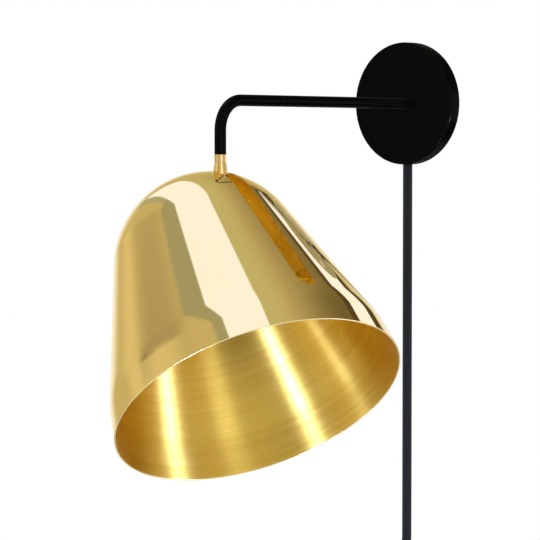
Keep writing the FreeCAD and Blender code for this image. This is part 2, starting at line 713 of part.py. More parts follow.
def bracket_screws():
    screws = []
    for place in bar_screw_places():
        shank = rod(BAR_SCREW_RADIUS, place, place + UP * BAR_SCREW_LENGTH)
        screws.append(joined([shank, bar_screw_head(place)]))
    return on_shade(group(screws))


# ---- hinge --------------------------------------------------------------------------------------------------
def hinge_seats():
    """Places along the hinge axis: both faces of the bracket's tongue, and the spring's seat."""
    near = -TONGUE_THICKNESS / 2 - HINGE_GAP
    return near - TONGUE_THICKNESS, near, TONGUE_THICKNESS / 2 + HINGE_SPRING_GAP


def hinge_screw():
    far, _, spring = hinge_seats()
    head = Vector(0, spring + HINGE_SPRING_THICKNESS, 0)
    top = head + TO_WALL * HINGE_HEAD_HEIGHT
    shank = rod(HINGE_SCREW_RADIUS, Vector(0, far - HINGE_NUT_THICKNESS, 0), head)
    socket = hexagon_prism(HINGE_SCREW_KEY, top - TO_WALL * HINGE_SCREW_KEY_DEPTH, top)
    return on_shade(joined([shank, rod(HINGE_HEAD_RADIUS, head, top)]).cut(socket))


def hinge_spring_washer():
    spring = hinge_seats()[2]
    return on_shade(ring(HINGE_HEAD_RADIUS, HINGE_SCREW_RADIUS + SEAT_FIT, Vector(0, spring, 0),
                         Vector(0, spring + HINGE_SPRING_THICKNESS, 0)))


def hinge_washer():
    near = hinge_seats()[1]
    return on_shade(ring(TONGUE_ROUND - SHAFT_FIT, HINGE_SCREW_RADIUS + SEAT_FIT,
                         Vector(0, near, 0), Vector(0, near + HINGE_WASHER_THICKNESS, 0)))


def hinge_nut():
    far = Vector(0, hinge_seats()[0], 0)
    end = far - TO_WALL * HINGE_NUT_THICKNESS
    nut = hexagon_prism(HINGE_NUT_ACROSS, end, far)
    return on_shade(nut.cut(rod(HINGE_SCREW_RADIUS + SEAT_FIT, end, far)))


# ---- lamp holder --------------------------------------------------------------------------------------------
def holder_point(height):
    """A point on the shade's axis, below the holder's seat on the bracket by the height."""
    return Vector(0, -HINGE_OFFSET, BAR_BOTTOM - height)


def holder_screw_places():
    half = HOLDER_SCREW_SPACING / 2
    return [Vector(0, -HINGE_OFFSET + side * half, 0) for side in (-1, 1)]


def lead_places():
    return [Vector(-LEAD_OFFSET, -HINGE_OFFSET + side * LEAD_SPACING / 2, 0) for side in (-1, 1)]


def cap_shell_radius():
    return CAP_THREAD_RADIUS + CAP_SHELL_WALL


def lamp_holder():
    body = rod(HOLDER_RADIUS, holder_point(0), holder_point(HOLDER_LENGTH))
    mouth = [e for e in body.Edges
             if e.Length > HOLDER_RADIUS * math.pi and e.BoundBox.ZMax < BAR_BOTTOM - HOLDER_BASE]
    body = body.makeFillet(HOLDER_ROUND, mouth)
    body = body.cut(rod(cap_shell_radius() + SEAT_FIT, holder_point(HOLDER_BASE),
                        holder_point(HOLDER_LENGTH)))
    for place in holder_screw_places():
        top = place + UP * BAR_BOTTOM
        body = body.cut(rod(BAR_SCREW_RADIUS + SEAT_FIT, top, top + DOWN * HOLDER_SCREW_LENGTH))
    for place in lead_places():
        top = place + UP * BAR_BOTTOM
        body = body.cut(rod(WIRE_RADIUS + SEAT_FIT, top, top + DOWN * HOLDER_BASE))
    return on_shade(body)


def holder_thread():
    """The screw shell, which starts just below the contact."""
    top = holder_point(HOLDER_BASE + CONTACT_HEIGHT + FREE_GAP)
    return on_shade(ring(cap_shell_radius(), CAP_THREAD_RADIUS, top,
                         top + DOWN * CAP_SHELL_LENGTH))


def holder_contact():
    top = holder_point(HOLDER_BASE)
    middle = top + DOWN * (CONTACT_HEIGHT / 2)
    stalk = rod(CONTACT_RADIUS / 2, top, middle)
    return on_shade(joined([stalk, rod(CONTACT_RADIUS, middle, top + DOWN * CONTACT_HEIGHT)]))


def holder_screws():
    screws = []
    for place in holder_screw_places():
        seat = place + UP * BAR_TOP
        shank = rod(BAR_SCREW_RADIUS, seat + DOWN * (BAR_THICKNESS + HOLDER_SCREW_LENGTH), seat)
        head = rod(BAR_SCREW_HEAD_RADIUS, seat, seat + UP * BAR_SCREW_HEAD_HEIGHT)
        screws.append(joined([shank, head]))
    return on_shade(group(screws))


def holder_leads():
    leads = []
    for place in lead_places():
        low = place + UP * (BAR_BOTTOM - HOLDER_BASE)
        leads.append(rod(WIRE_RADIUS, low, place + UP * LEAD_TOP_ABOVE_PIVOT))
    return on_shade(group(leads))


# ---- switch in the cord ---------------------------------------------------------------------------------------
def switch_half(front_y, back_y, outer_y):
    """One half of the case, its outer face at outer_y, hollow and open on its other side."""
    half = SWITCH_WIDTH / 2
    case = box(Vector(-half, front_y, SWITCH_BOTTOM_Z), Vector(half, back_y, SWITCH_TOP_Z))
    corners = [e for e in case.Edges if e.BoundBox.YLength > 1]
    case = case.makeFillet(SWITCH_CORNER, corners)
    rim = [e for e in case.Edges if abs(e.BoundBox.YMin - outer_y) < 1e-6
           and abs(e.BoundBox.YMax - outer_y) < 1e-6]
    case = case.makeFillet(SWITCH_EDGE_ROUND, rim)
    hollow_front = front_y + SWITCH_WALL if outer_y == front_y else front_y
    hollow_back = back_y - SWITCH_WALL if outer_y == back_y else back_y
    inner = half - SWITCH_WALL
    hollow = box(Vector(-inner, hollow_front, SWITCH_BOTTOM_Z + SWITCH_WALL),
                 Vector(inner, hollow_back, SWITCH_TOP_Z - SWITCH_WALL))
    upright = [e for e in hollow.Edges if e.BoundBox.YLength > 1]
    hollow = hollow.makeFillet(SWITCH_CORNER - SWITCH_WALL, upright)
    inlet = rod(SWITCH_INLET_RADIUS, Vector(0, SWITCH_CORD_Y, SWITCH_BOTTOM_Z),
                Vector(0, SWITCH_CORD_Y, SWITCH_TOP_Z))
    return case, hollow, inlet


def switch_screw_places():
    return [Vector(side * SWITCH_SCREW_X, SWITCH_CORD_Y, SWITCH_MIDDLE_Z + side * SWITCH_SCREW_Z)
            for side in (-1, 1)]


def switch_back():
    case, hollow, inlet = switch_half(SWITCH_CORD_Y, SWITCH_BACK_Y, SWITCH_BACK_Y)
    shell = case.cut(hollow)
    for place in switch_screw_places():
        outside = Vector(place.x, SWITCH_BACK_Y, place.z)
        shell = joined([shell, rod(SWITCH_BOSS_RADIUS, place, outside)])
        shell = shell.cut(rod(SWITCH_SCREW_RADIUS + SEAT_FIT, place, outside))
        shell = shell.cut(rod(SWITCH_SCREW_HEAD_RADIUS + SEAT_FIT, outside,
                              outside + TO_ROOM * SWITCH_SCREW_HEAD_HEIGHT))
    return shell.cut(inlet)


def rocker_ears():
    """Two ears behind the front face that carry the rocker's pin."""
    ears = []
    near = ROCKER_HALF_WIDTH + FREE_GAP
    for side in (-1, 1):
        inner, outer = sorted((side * near, side * (near + EAR_THICKNESS)))
        ears.append(box(Vector(inner, SWITCH_FRONT_Y + SWITCH_WALL / 2, SWITCH_MIDDLE_Z - EAR_HALF_HEIGHT),
                        Vector(outer, ROCKER_PIVOT_Y + EAR_HALF_HEIGHT, SWITCH_MIDDLE_Z + EAR_HALF_HEIGHT)))
    return ears


def rocker_pin_ends():
    reach = ROCKER_HALF_WIDTH + FREE_GAP + EAR_THICKNESS
    return (Vector(-reach, ROCKER_PIVOT_Y, SWITCH_MIDDLE_Z),
            Vector(reach, ROCKER_PIVOT_Y, SWITCH_MIDDLE_Z))


def switch_front():
    case, hollow, inlet = switch_half(SWITCH_FRONT_Y, SWITCH_CORD_Y, SWITCH_FRONT_Y)
    bosses = [rod(SWITCH_BOSS_RADIUS, Vector(place.x, SWITCH_FRONT_Y + SWITCH_WALL / 2, place.z), place)
              for place in switch_screw_places()]
    shell = joined([case.cut(hollow)] + bosses + rocker_ears())
    window = Vector(ROCKER_HALF_WIDTH + FREE_GAP, 0, ROCKER_RADIUS + FREE_GAP)
    middle = Vector(0, SWITCH_FRONT_Y, SWITCH_MIDDLE_Z)
    shell = shell.cut(box(middle - window, middle + window + TO_WALL * SWITCH_WALL))
    for place in switch_screw_places():
        depth = screw_depth()
        shell = shell.cut(rod(SWITCH_SCREW_RADIUS + SEAT_FIT, place, place + TO_ROOM * depth))
    start, end = rocker_pin_ends()
    return shell.cut(rod(ROCKER_PIN_RADIUS + SEAT_FIT, start, end)).cut(inlet)


def screw_depth():
    """How deep a case screw reaches into the front half."""
    return (SWITCH_CORD_Y - SWITCH_FRONT_Y) / 2


def switch_screws():
    screws = []
    for place in switch_screw_places():
        outside = Vector(place.x, SWITCH_BACK_Y, place.z)
        seat = outside + TO_ROOM * SWITCH_SCREW_HEAD_HEIGHT
        screws.append(joined([rod(SWITCH_SCREW_RADIUS, seat, place + TO_ROOM * screw_depth()),
                              rod(SWITCH_SCREW_HEAD_RADIUS, outside, seat)]))
    return group(screws)


def switch_rocker():
    """The rocker, drawn level and turned about its pin to its off position."""
    pivot = Vector(0, ROCKER_PIVOT_Y, SWITCH_MIDDLE_Z)
    outline = [(ROCKER_BACK_Y, -ROCKER_BACK_HALF), (ROCKER_TIP_Y, -ROCKER_RADIUS),
               (ROCKER_CREST_Y, 0), (ROCKER_TIP_Y, ROCKER_RADIUS), (ROCKER_BACK_Y, ROCKER_BACK_HALF)]
    corners = [Vector(-ROCKER_HALF_WIDTH, y, SWITCH_MIDDLE_Z + z) for y, z in outline]
    wide = RIGHT * (2 * ROCKER_HALF_WIDTH)
    block = Part.Face(Part.makePolygon(corners + corners[:1])).extrude(wide)
    side = RIGHT * ROCKER_HALF_WIDTH
    block = block.common(rod(ROCKER_RADIUS, pivot - side, pivot + side))
    block = block.cut(rod(ROCKER_PIN_RADIUS + SHAFT_FIT, pivot - side, pivot + side))
    block.rotate(pivot, RIGHT, ROCKER_REST_ANGLE)
    return block


def rocker_pin():
    start, end = rocker_pin_ends()
    return rod(ROCKER_PIN_RADIUS, start, end)


def switch_contacts():
    """Two brass strips on the back shell's ribs, either side of the rocker."""
    strips = []
    for side in (-1, 1):
        near, far = sorted((side * CONTACT_STRIP_GAP / 2,
                            side * (CONTACT_STRIP_GAP / 2 + CONTACT_STRIP_LENGTH)))
        strip = box(Vector(-CONTACT_STRIP_HALF_WIDTH, CONTACT_STRIP_Y - CONTACT_STRIP_THICKNESS,
                           SWITCH_MIDDLE_Z + near),
                    Vector(CONTACT_STRIP_HALF_WIDTH, CONTACT_STRIP_Y, SWITCH_MIDDLE_Z + far))
        foot_z = SWITCH_MIDDLE_Z + side * (CONTACT_STRIP_GAP / 2 + CONTACT_STRIP_LENGTH / 2)
        foot = rod(CONTACT_STRIP_HALF_WIDTH / 2, Vector(0, CONTACT_STRIP_Y, foot_z),
                   Vector(0, SWITCH_BACK_Y - SWITCH_WALL, foot_z))
        strips.append(joined([strip, foot]))
    return group(strips)


# ---- cord ---------------------------------------------------------------------------------------------------
def drop_points():
    """From the grip in the rose straight down the wall, then out a little into the switch."""
    lower = (STRAIGHT_END_Z + SWITCH_TOP_Z) / 2
    return [Vector(0, CORD_Y, SHEATH_END_Z), Vector(0, CORD_Y, STRAIGHT_END_Z),
            Vector(0, SWITCH_CORD_Y, lower), Vector(0, SWITCH_CORD_Y, SWITCH_TOP_Z)]


def coil_heading(turns):
    """The coil's direction at a number of turns from its start."""
    step = 0.001
    return (coil_offset(turns + step) - coil_offset(turns - step)).normalize()


def coil_exit_angle():
    """Where on its outermost turn the coil's line heads straight down, seen from the room."""
    return 180 + math.degrees(math.atan(COIL_PITCH / (2 * math.pi * COIL_OUTER_RADIUS)))


def coil_offset(turns):
    """A point on the coil's line, from the coil's centre in its back layer.

    The line winds in at a steady rate and out again, and climbs to the front layer in the
    half turn about its middle.
    """
    middle = COIL_TURNS / 2
    radius = COIL_OUTER_RADIUS - COIL_PITCH * (middle - abs(turns - middle))
    angle = math.radians(coil_exit_angle() + 360 * (turns - COIL_TURNS))
    chord = COIL_TURNS / COIL_CHORDS
    climb = min(max((turns - middle) / (2 * chord) + 0.5, 0), 1)
    climb = climb * climb * (3 - 2 * climb)
    return Vector(radius * math.cos(angle), -COIL_LAYER_STEP * climb, radius * math.sin(angle))


def coil_lead_in():
    """Where the cord comes to the coil: the corner of its way in, its start and its heading."""
    heading = coil_heading(0)
    corner = Vector(0, SWITCH_CORD_Y, SWITCH_BOTTOM_Z - LINK_FIRST_RUN - LINK_CORNER_CUT)
    start = corner + heading * (LINK_CORNER_CUT + LINK_LAST_RUN)
    return corner, start, heading


def coil_centre():
    _, start, heading = coil_lead_in()
    return start + heading * CORD_DIAMETER - coil_offset(0)


def link_points():
    corner, start, heading = coil_lead_in()
    return [Vector(0, SWITCH_CORD_Y, SWITCH_BOTTOM_Z), corner + UP * LINK_CORNER_CUT,
            corner + heading * LINK_CORNER_CUT, start]


def biarc(start, start_heading, end, end_heading):
    """Two arcs that leave start and reach end along the given headings."""
    across = end - start
    both = start_heading + end_heading
    square = 2 * (1 - start_heading.dot(end_heading))
    linear = across.dot(both)
    length = (math.sqrt(linear ** 2 + square * across.dot(across)) - linear) / square
    first = start + start_heading * length
    second = end - end_heading * length
    joint = (first + second) / 2
    return [arc_between(start, first, joint), arc_between(joint, second, end)]


def coil_edges():
    """The coil's line: a straight lead-in, arcs for its turns and a straight lead-out."""
    centre = coil_centre()
    chord = COIL_TURNS / COIL_CHORDS
    start = coil_lead_in()[1]
    edges = [Part.LineSegment(start, centre + coil_offset(0)).toShape()]
    for i in range(COIL_CHORDS):
        edges += biarc(centre + coil_offset(i * chord), coil_heading(i * chord),
                       centre + coil_offset((i + 1) * chord), coil_heading((i + 1) * chord))
    edges.append(Part.LineSegment(coil_end(), tail_top()).toShape())
    return edges


def coil_end():
    return coil_centre() + coil_offset(COIL_TURNS)


def tail_top():
    return coil_end() + coil_heading(COIL_TURNS) * CORD_DIAMETER


def least_coil_gap(edges):
    """The least gap between two stretches of the coil that aren't next to each other."""
    points = []
    for edge in edges:
        points += edge.discretize(GAP_TEST_POINTS + 1)[:-1]
    lengths = [0]
    for i in range(1, len(points)):
        lengths.append(lengths[-1] + (points[i] - points[i - 1]).Length)
    least = COIL_OUTER_RADIUS
    for i in range(len(points)):
        for j in range(i):
            if lengths[i] - lengths[j] > COIL_MEAN_RADIUS:
                least = min(least, (points[i] - points[j]).Length)
    return least - CORD_DIAMETER


def cord_drop():
    points = drop_points()
    radii = cord_radii(points)
    route = rounded_route(points, radii)
    solid = tube(route, CORD_RADIUS, points[0], DOWN)
    report_tube("cord_drop", solid, route, radii)
    return solid


def cord_link():
    points = link_points()
    radii = cord_radii(points)
    route = rounded_route(points, radii)
    solid = tube(route, CORD_RADIUS, points[0], DOWN)
    report_tube("cord_link", solid, route, radii)
    return solid


def cord_coil():
    edges = coil_edges()
    route = Part.Wire(edges)
    solid = tube(route, CORD_RADIUS, coil_lead_in()[1], coil_heading(0))
    report_tube("cord_coil", solid, route, [])
    print("cord_coil least gap to itself", round(least_coil_gap(edges), 2))
    return solid


def tail_bottom():
    return tail_top() + coil_heading(COIL_TURNS) * TAIL_LENGTH


def cord_tail():
    return rod(CORD_RADIUS, tail_top(), tail_bottom())


def coil_tie():
    """A strap round the bundle of turns, where the cord comes in and goes out."""
    half = TIE_WIDTH / 2
    hollow_radius = COIL_OUTER_RADIUS - COIL_PITCH * COIL_TURNS / 2 - CORD_RADIUS
    inner_radius = math.sqrt(hollow_radius ** 2 - half ** 2) - TIE_GAP
    outer_radius = COIL_OUTER_RADIUS + CORD_RADIUS + TIE_GAP
    back = CORD_RADIUS + TIE_GAP
    front = -(COIL_LAYER_STEP + CORD_RADIUS + TIE_GAP)
    grow = Vector(TIE_THICKNESS, TIE_THICKNESS, 0)
    low = Vector(inner_radius, front, -half)
    high = Vector(outer_radius, back, half)
    strap = rounded_bar(low - grow, high + grow).cut(rounded_bar(low, high))
    strap.rotate(Vector(), TO_ROOM, TIE_ANGLE)
    strap.translate(coil_centre())
    return strap


def rounded_bar(low, high):
    bar = box(low, high)
    return bar.makeFillet(CORD_RADIUS, [e for e in bar.Edges if e.BoundBox.ZLength > TIE_WIDTH / 2])


# ---- plug ---------------------------------------------------------------------------------------------------
def plug_outline(width, thickness, height):
    """A flat outline with round ends."""
    straight = (width - thickness) / 2
    half = thickness / 2
    corners = [Vector(-straight, -half, height), Vector(straight, -half, height),
               Vector(straight, half, height), Vector(-straight, half, height)]
    edges = [Part.LineSegment(corners[0], corners[1]).toShape(),
             Part.Arc(corners[1], Vector(straight + half, 0, height), corners[2]).toShape(),
             Part.LineSegment(corners[2], corners[3]).toShape(),
             Part.Arc(corners[3], Vector(-straight - half, 0, height), corners[0]).toShape()]
    return Part.Wire(edges)


def plug_face():
    """The middle of the plug's face, where its pins stand out."""
    height = PLUG_BODY_HEIGHT + PLUG_TAPER_HEIGHT + PLUG_SLEEVE_HEIGHT
    return tail_bottom() + DOWN * height


def plug_body():
    top = PLUG_BODY_HEIGHT + PLUG_TAPER_HEIGHT
    block = Part.Face(plug_outline(PLUG_WIDTH, PLUG_THICKNESS, 0)).extrude(UP * PLUG_BODY_HEIGHT)
    taper = Part.makeLoft([plug_outline(PLUG_WIDTH, PLUG_THICKNESS, PLUG_BODY_HEIGHT),
                           plug_outline(PLUG_TOP_WIDTH, PLUG_TOP_THICKNESS, top)], True, True)
    sleeve = Part.makeCone(PLUG_SLEEVE_ROOT_RADIUS, PLUG_SLEEVE_TIP_RADIUS, PLUG_SLEEVE_HEIGHT,
                           UP * top)
    body = joined([block, taper, sleeve])
    for x in (-PIN_SPACING / 2, PIN_SPACING / 2):
        body = body.cut(rod(PIN_ROOT_RADIUS + SEAT_FIT, Vector(x, 0, 0), Vector(x, 0, PIN_ROOT)))
    body.translate(plug_face())
    return body


def plug_pins():
    pins = []
    for x in (-PIN_SPACING / 2, PIN_SPACING / 2):
        pin = rod(PIN_RADIUS, Vector(x, 0, -PIN_LENGTH), Vector(x, 0, 0))
        tip = [e for e in pin.Edges if abs(e.BoundBox.ZMax + PIN_LENGTH) < 1e-6]
        root = rod(PIN_ROOT_RADIUS, Vector(x, 0, 0), Vector(x, 0, PIN_ROOT))
        pins.append(joined([pin.makeFillet(PIN_TIP_ROUND, tip), root]))
    both = group(pins)
    both.translate(plug_face())
    return both


PIECES = [
    rose_cover, wall_plate, lock_screws, cord_grip, cord_grip_screws,
    arm_tube, arm_nut, arm_collar, arm_wires,
    swivel_neck, swivel_clip, swivel_washer, neck_wires,
    shade_shell, shade_lugs, shade_bracket, bracket_screws,
    hinge_screw, hinge_spring_washer, hinge_washer, hinge_nut,
    lamp_holder, holder_thread, holder_contact, holder_screws, holder_leads,
    switch_back, switch_front, switch_screws, switch_rocker, rocker_pin, switch_contacts,
    cord_drop, cord_link, cord_coil, cord_tail, coil_tie, plug_body, plug_pins,
]

os.makedirs("parts", exist_ok=True)
for piece in PIECES:
    shape = piece()
    if not shape.isValid() or not shape.Solids:
        print(piece.__name__, "isn't a valid solid")
    shape.exportStep(os.path.join("parts", piece.__name__ + ".step"))
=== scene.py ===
import bmesh
import bpy
import json
import math
from mathutils import Matrix, Vector


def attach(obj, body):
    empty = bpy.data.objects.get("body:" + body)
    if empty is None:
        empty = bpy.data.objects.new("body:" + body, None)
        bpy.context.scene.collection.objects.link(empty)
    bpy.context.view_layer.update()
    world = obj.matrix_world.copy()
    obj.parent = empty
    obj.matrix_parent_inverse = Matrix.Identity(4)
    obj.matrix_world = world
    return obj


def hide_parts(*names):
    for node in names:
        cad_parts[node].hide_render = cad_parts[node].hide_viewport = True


# Wall light with a tilting bell shade of polished brass. Metres, in the model's own frame: the wall
# is the plane y = 0, the room is on its -Y side, +Z is up, and the origin is the middle of the
# rose's back.

MM = 0.001
UP = Vector((0, 0, 1))

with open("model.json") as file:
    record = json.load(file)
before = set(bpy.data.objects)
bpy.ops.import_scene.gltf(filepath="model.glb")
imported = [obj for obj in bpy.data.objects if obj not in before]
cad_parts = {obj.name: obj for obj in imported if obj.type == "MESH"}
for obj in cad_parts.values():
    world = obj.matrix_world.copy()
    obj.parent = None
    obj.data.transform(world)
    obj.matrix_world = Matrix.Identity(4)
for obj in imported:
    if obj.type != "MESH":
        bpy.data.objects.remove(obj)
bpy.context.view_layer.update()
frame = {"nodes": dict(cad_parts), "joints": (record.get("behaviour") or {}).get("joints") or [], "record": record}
nodes = frame["nodes"]


def named(rows, name):
    return next(row for row in rows if row["name"] == name)


def shade_place():
    """The shade's own frame: origin on its axis level with the hinge, X to the slot, Z to the apex."""
    hinge = named(frame["joints"], "shade_tilt")
    socket = named(frame["record"]["mounts"], "lamp_socket")
    pivot = Vector(hinge["pos_m"])
    aside = -Vector(hinge["axis"]).normalized()
    up = -Vector(socket["axis"]).normalized()
    ahead = aside.cross(up)
    origin = pivot + aside * aside.dot(Vector(socket["pos_m"]) - pivot)
    return Matrix.Translation(origin) @ Matrix((ahead, aside, up)).transposed().to_4x4(), pivot


# ---- camera ---------------------------------------------------------------------------------
CAMERA_PLACE = (1.1766976, -1.4913665, -0.0312420)
CAMERA_YAW = 41.4196            # degrees to the left of straight at the wall
CAMERA_PITCH = -2.7772
CAMERA_LENS = 170.538


def make_camera():
    data = bpy.data.cameras.new("camera")
    data.lens = CAMERA_LENS
    data.sensor_width = 36
    camera = bpy.data.objects.new("camera", data)
    camera.location = CAMERA_PLACE
    camera.rotation_euler = (math.radians(90 + CAMERA_PITCH), 0, math.radians(CAMERA_YAW))
    bpy.context.scene.collection.objects.link(camera)
    bpy.context.scene.camera = camera


# ---- meshes and curves ------------------------------------------------------------------------
def new_object(name, data):
    made = bpy.data.objects.new(name, data)
    bpy.context.scene.collection.objects.link(made)
    return made


def nurbs_line(name, points):
    """A curve of one open NURBS spline with the points as its control points."""
    curve = bpy.data.curves.new(name, "CURVE")
    curve.dimensions = "3D"
    spline = curve.splines.new("NURBS")
    spline.points.add(len(points) - 1)
    for control, point in zip(spline.points, points):
        control.co = (*point, 1)
    spline.order_u = 3
    spline.use_endpoint_u = True
    curve.resolution_u = 8
    return new_object(name, curve)


def points_along(curve_object):
    """The points of a curve's smooth line, read from the line itself."""
    bpy.context.view_layer.update()
    graph = bpy.context.evaluated_depsgraph_get()
    line = bpy.data.meshes.new_from_object(curve_object.evaluated_get(graph))
    points = [vertex.co.copy() for vertex in line.vertices]
    bpy.data.meshes.remove(line)
    return points


def evenly(points, step):
    """The same line with its long stretches divided, so that no ring is further than a step."""
    spaced = [points[0]]
    for point in points[1:]:
        gap = (point - spaced[-1]).length
        if gap < 1e-6:
            continue
        start = spaced[-1]
        count = math.ceil(gap / step)
        for i in range(1, count + 1):
            spaced.append(start.lerp(point, i / count))
    return spaced


TUBE_SIDES = 24
TUBE_STEP = 0.004


def tube_mesh(name, points, radius):
    """A round tube along the points, with u around it and v along it in metres."""
    points = evenly(points, TUBE_STEP)
    heading = (points[1] - points[0]).normalized()
    aside = heading.orthogonal().normalized()
    vertices, along = [], [0.0]
    for i, point in enumerate(points):
        ahead = points[min(i + 1, len(points) - 1)] - points[max(i - 1, 0)]
        turn = heading.rotation_difference(ahead.normalized())
        aside.rotate(turn)
        heading = ahead.normalized()
        across = heading.cross(aside)
        for k in range(TUBE_SIDES):
            angle = 2 * math.pi * k / TUBE_SIDES
            vertices.append(point + (aside * math.cos(angle) + across * math.sin(angle)) * radius)
        if i:
            along.append(along[-1] + (point - points[i - 1]).length)
    faces, places = [], []
    for i in range(len(points) - 1):
        for k in range(TUBE_SIDES):
            after = (k + 1) % TUBE_SIDES
            row, next_row = i * TUBE_SIDES, (i + 1) * TUBE_SIDES
            faces.append((row + k, row + after, next_row + after, next_row + k))
            u, next_u = k / TUBE_SIDES, (k + 1) / TUBE_SIDES
            places += [(u, along[i]), (next_u, along[i]), (next_u, along[i + 1]), (u, along[i + 1])]
    mesh = bpy.data.meshes.new(name)
    mesh.from_pydata(vertices, [], faces)
    layer = mesh.uv_layers.new(name="around_along")
    for loop, place in zip(layer.data, places):
        loop.uv = place
    close_ends(mesh, len(points))
    mesh.shade_smooth()
    mesh.update()
    return mesh


def close_ends(mesh, rings):
    """Gives the tube's two ends flat rounds."""
    shape = bmesh.new()
    shape.from_mesh(mesh)
    shape.verts.ensure_lookup_table()
    first = [shape.verts[k] for k in range(TUBE_SIDES)]
    last = [shape.verts[(rings - 1) * TUBE_SIDES + k] for k in range(TUBE_SIDES)]
    shape.faces.new(reversed(first))
    shape.faces.new(last)
    shape.to_mesh(mesh)
    shape.free()


# ---- cord -----------------------------------------------------------------------------------
CORD_RADIUS = 3.5 * MM
CORD_Y = -3.6 * MM
SHEATH_END_Z = -24.5 * MM
STRAIGHT_END_Z = -324 * MM
SWITCH_TOP_Z = -340 * MM
SWITCH_BOTTOM_Z = -398 * MM
SWITCH_CORD_Y = -5.3 * MM

COIL_MEAN_RADIUS = 40 * MM
COIL_PITCH = 7.7 * MM
COIL_LAYER_STEP = 7.6 * MM
COIL_TURNS = 6.1
COIL_CHORDS = 24
COIL_POINTS_PER_TURN = 24
LINK_FIRST_RUN = 18 * MM
LINK_CORNER_CUT = 14 * MM
LINK_LAST_RUN = 18 * MM
TAIL_LENGTH = 36 * MM
COIL_OUTER_RADIUS = COIL_MEAN_RADIUS + COIL_PITCH * COIL_TURNS / 4


def drop_points():
    """Straight down the wall, then out a little into the switch."""
    lower = (STRAIGHT_END_Z + SWITCH_TOP_Z) / 2
    near_corner = STRAIGHT_END_Z + (STRAIGHT_END_Z - lower)
    return [(0, CORD_Y, SHEATH_END_Z), (0, CORD_Y, near_corner), (0, CORD_Y, STRAIGHT_END_Z),
            (0, SWITCH_CORD_Y, lower), (0, SWITCH_CORD_Y, SWITCH_TOP_Z)]


def coil_offset(turns):
    """A point on the coil's line: in at a steady rate, over to the front layer, and out again."""
    middle = COIL_TURNS / 2
    radius = COIL_OUTER_RADIUS - COIL_PITCH * (middle - abs(turns - middle))
    exit_angle = 180 + math.degrees(math.atan(COIL_PITCH / (2 * math.pi * COIL_OUTER_RADIUS)))
    angle = math.radians(exit_angle + 360 * (turns - COIL_TURNS))
    chord = COIL_TURNS / COIL_CHORDS
    climb = min(max((turns - middle) / (2 * chord) + 0.5, 0), 1)
    climb = climb * climb * (3 - 2 * climb)
    return Vector((radius * math.cos(angle), -COIL_LAYER_STEP * climb, radius * math.sin(angle)))


def coil_heading(turns):
    step = 0.001
    return (coil_offset(turns + step) - coil_offset(turns - step)).normalized()


def spare_points():
    """From the switch down into the coil, round its turns and out to the plug."""
    heading = coil_heading(0)
    corner = Vector((0, SWITCH_CORD_Y, SWITCH_BOTTOM_Z - LINK_FIRST_RUN - LINK_CORNER_CUT))
    start = corner + heading * (LINK_CORNER_CUT + LINK_LAST_RUN)
    centre = start + heading * (2 * CORD_RADIUS) - coil_offset(0)
    points = [Vector((0, SWITCH_CORD_Y, SWITCH_BOTTOM_Z)), corner + UP * LINK_CORNER_CUT,
              corner + heading * LINK_CORNER_CUT, start]
    count = round(COIL_TURNS * COIL_POINTS_PER_TURN)
    for i in range(count + 1):
        points.append(centre + coil_offset(COIL_TURNS * i / count))
    way_out = coil_heading(COIL_TURNS)
    tail_top = points[-1] + way_out * (2 * CORD_RADIUS)
    return points + [tail_top, tail_top + way_out * TAIL_LENGTH]


def make_cord(name, points, hidden):
    """A textile cord along the points: a mesh tube that follows the smooth line through them."""
    line = nurbs_line(name + "_line", points)
    path = points_along(line)
    bpy.data.objects.remove(line)
    cord = new_object(name, tube_mesh(name, path, CORD_RADIUS))
    cord.data.materials.append(braid())
    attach(cord, "wall_part")
    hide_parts(*hidden)


def make_cords():
    make_cord("cord_to_switch", drop_points(),
              ["cord_drop"])
    make_cord("cord_to_plug", spare_points(),
              ["cord_link", "cord_coil", "cord_tail"])


# ---- node trees -------------------------------------------------------------------------------
def add(tree, kind, settings=None, **inputs):
    """A node of a kind. Inputs are given by number, as in_0, or by name; sockets are linked."""
    made = tree.nodes.new("ShaderNode" + kind)
    for name, value in (settings or {}).items():
        setattr(made, name, value)
    for name, value in inputs.items():
        socket = made.inputs[int(name[3:])] if name.startswith("in_") else made.inputs[name]
        if isinstance(value, bpy.types.NodeSocket):
            tree.links.new(value, socket)
        else:
            socket.default_value = value
    return made


def math_node(tree, operation, *values):
    inputs = {"in_" + str(i): value for i, value in enumerate(values)}
    return add(tree, "Math", {"operation": operation}, **inputs).outputs[0]


def soft_step(tree, value, low, high):
    """0 below low, 1 above high and smooth between."""
    made = add(tree, "MapRange", {"interpolation_type": "SMOOTHSTEP"},
               in_0=value, in_1=low, in_2=high, in_3=0.0, in_4=1.0)
    return made.outputs[0]


def colour_mix(tree, factor, first, second):
    made = add(tree, "Mix", {"data_type": "RGBA"}, in_0=factor, in_6=first, in_7=second)
    return made.outputs[2]


def noise(tree, place, scale, detail=2.0):
    made = add(tree, "TexNoise", None, Vector=place, Scale=scale, Detail=detail)
    return made.outputs["Fac"]


def stretched(tree, place, scale):
    return add(tree, "Mapping", None, Vector=place, Scale=scale).outputs[0]


def bump(tree, height, distance, strength=1.0):
    return add(tree, "Bump", None, Height=height, Distance=distance, Strength=strength).outputs[0]


def surface(name, **values):
    """A material with the shader's plain values set; its tree, shader and object place."""
    material = bpy.data.materials.new(name)
    material.use_nodes = True
    tree = material.node_tree
    shader = tree.nodes["Principled BSDF"]
    for socket, value in values.items():
        shader.inputs[socket.replace("_", " ")].default_value = value
    place = add(tree, "TexCoord").outputs["Object"]
    return material, tree, shader, place


def link(tree, output, shader, socket):
    tree.links.new(output, shader.inputs[socket])


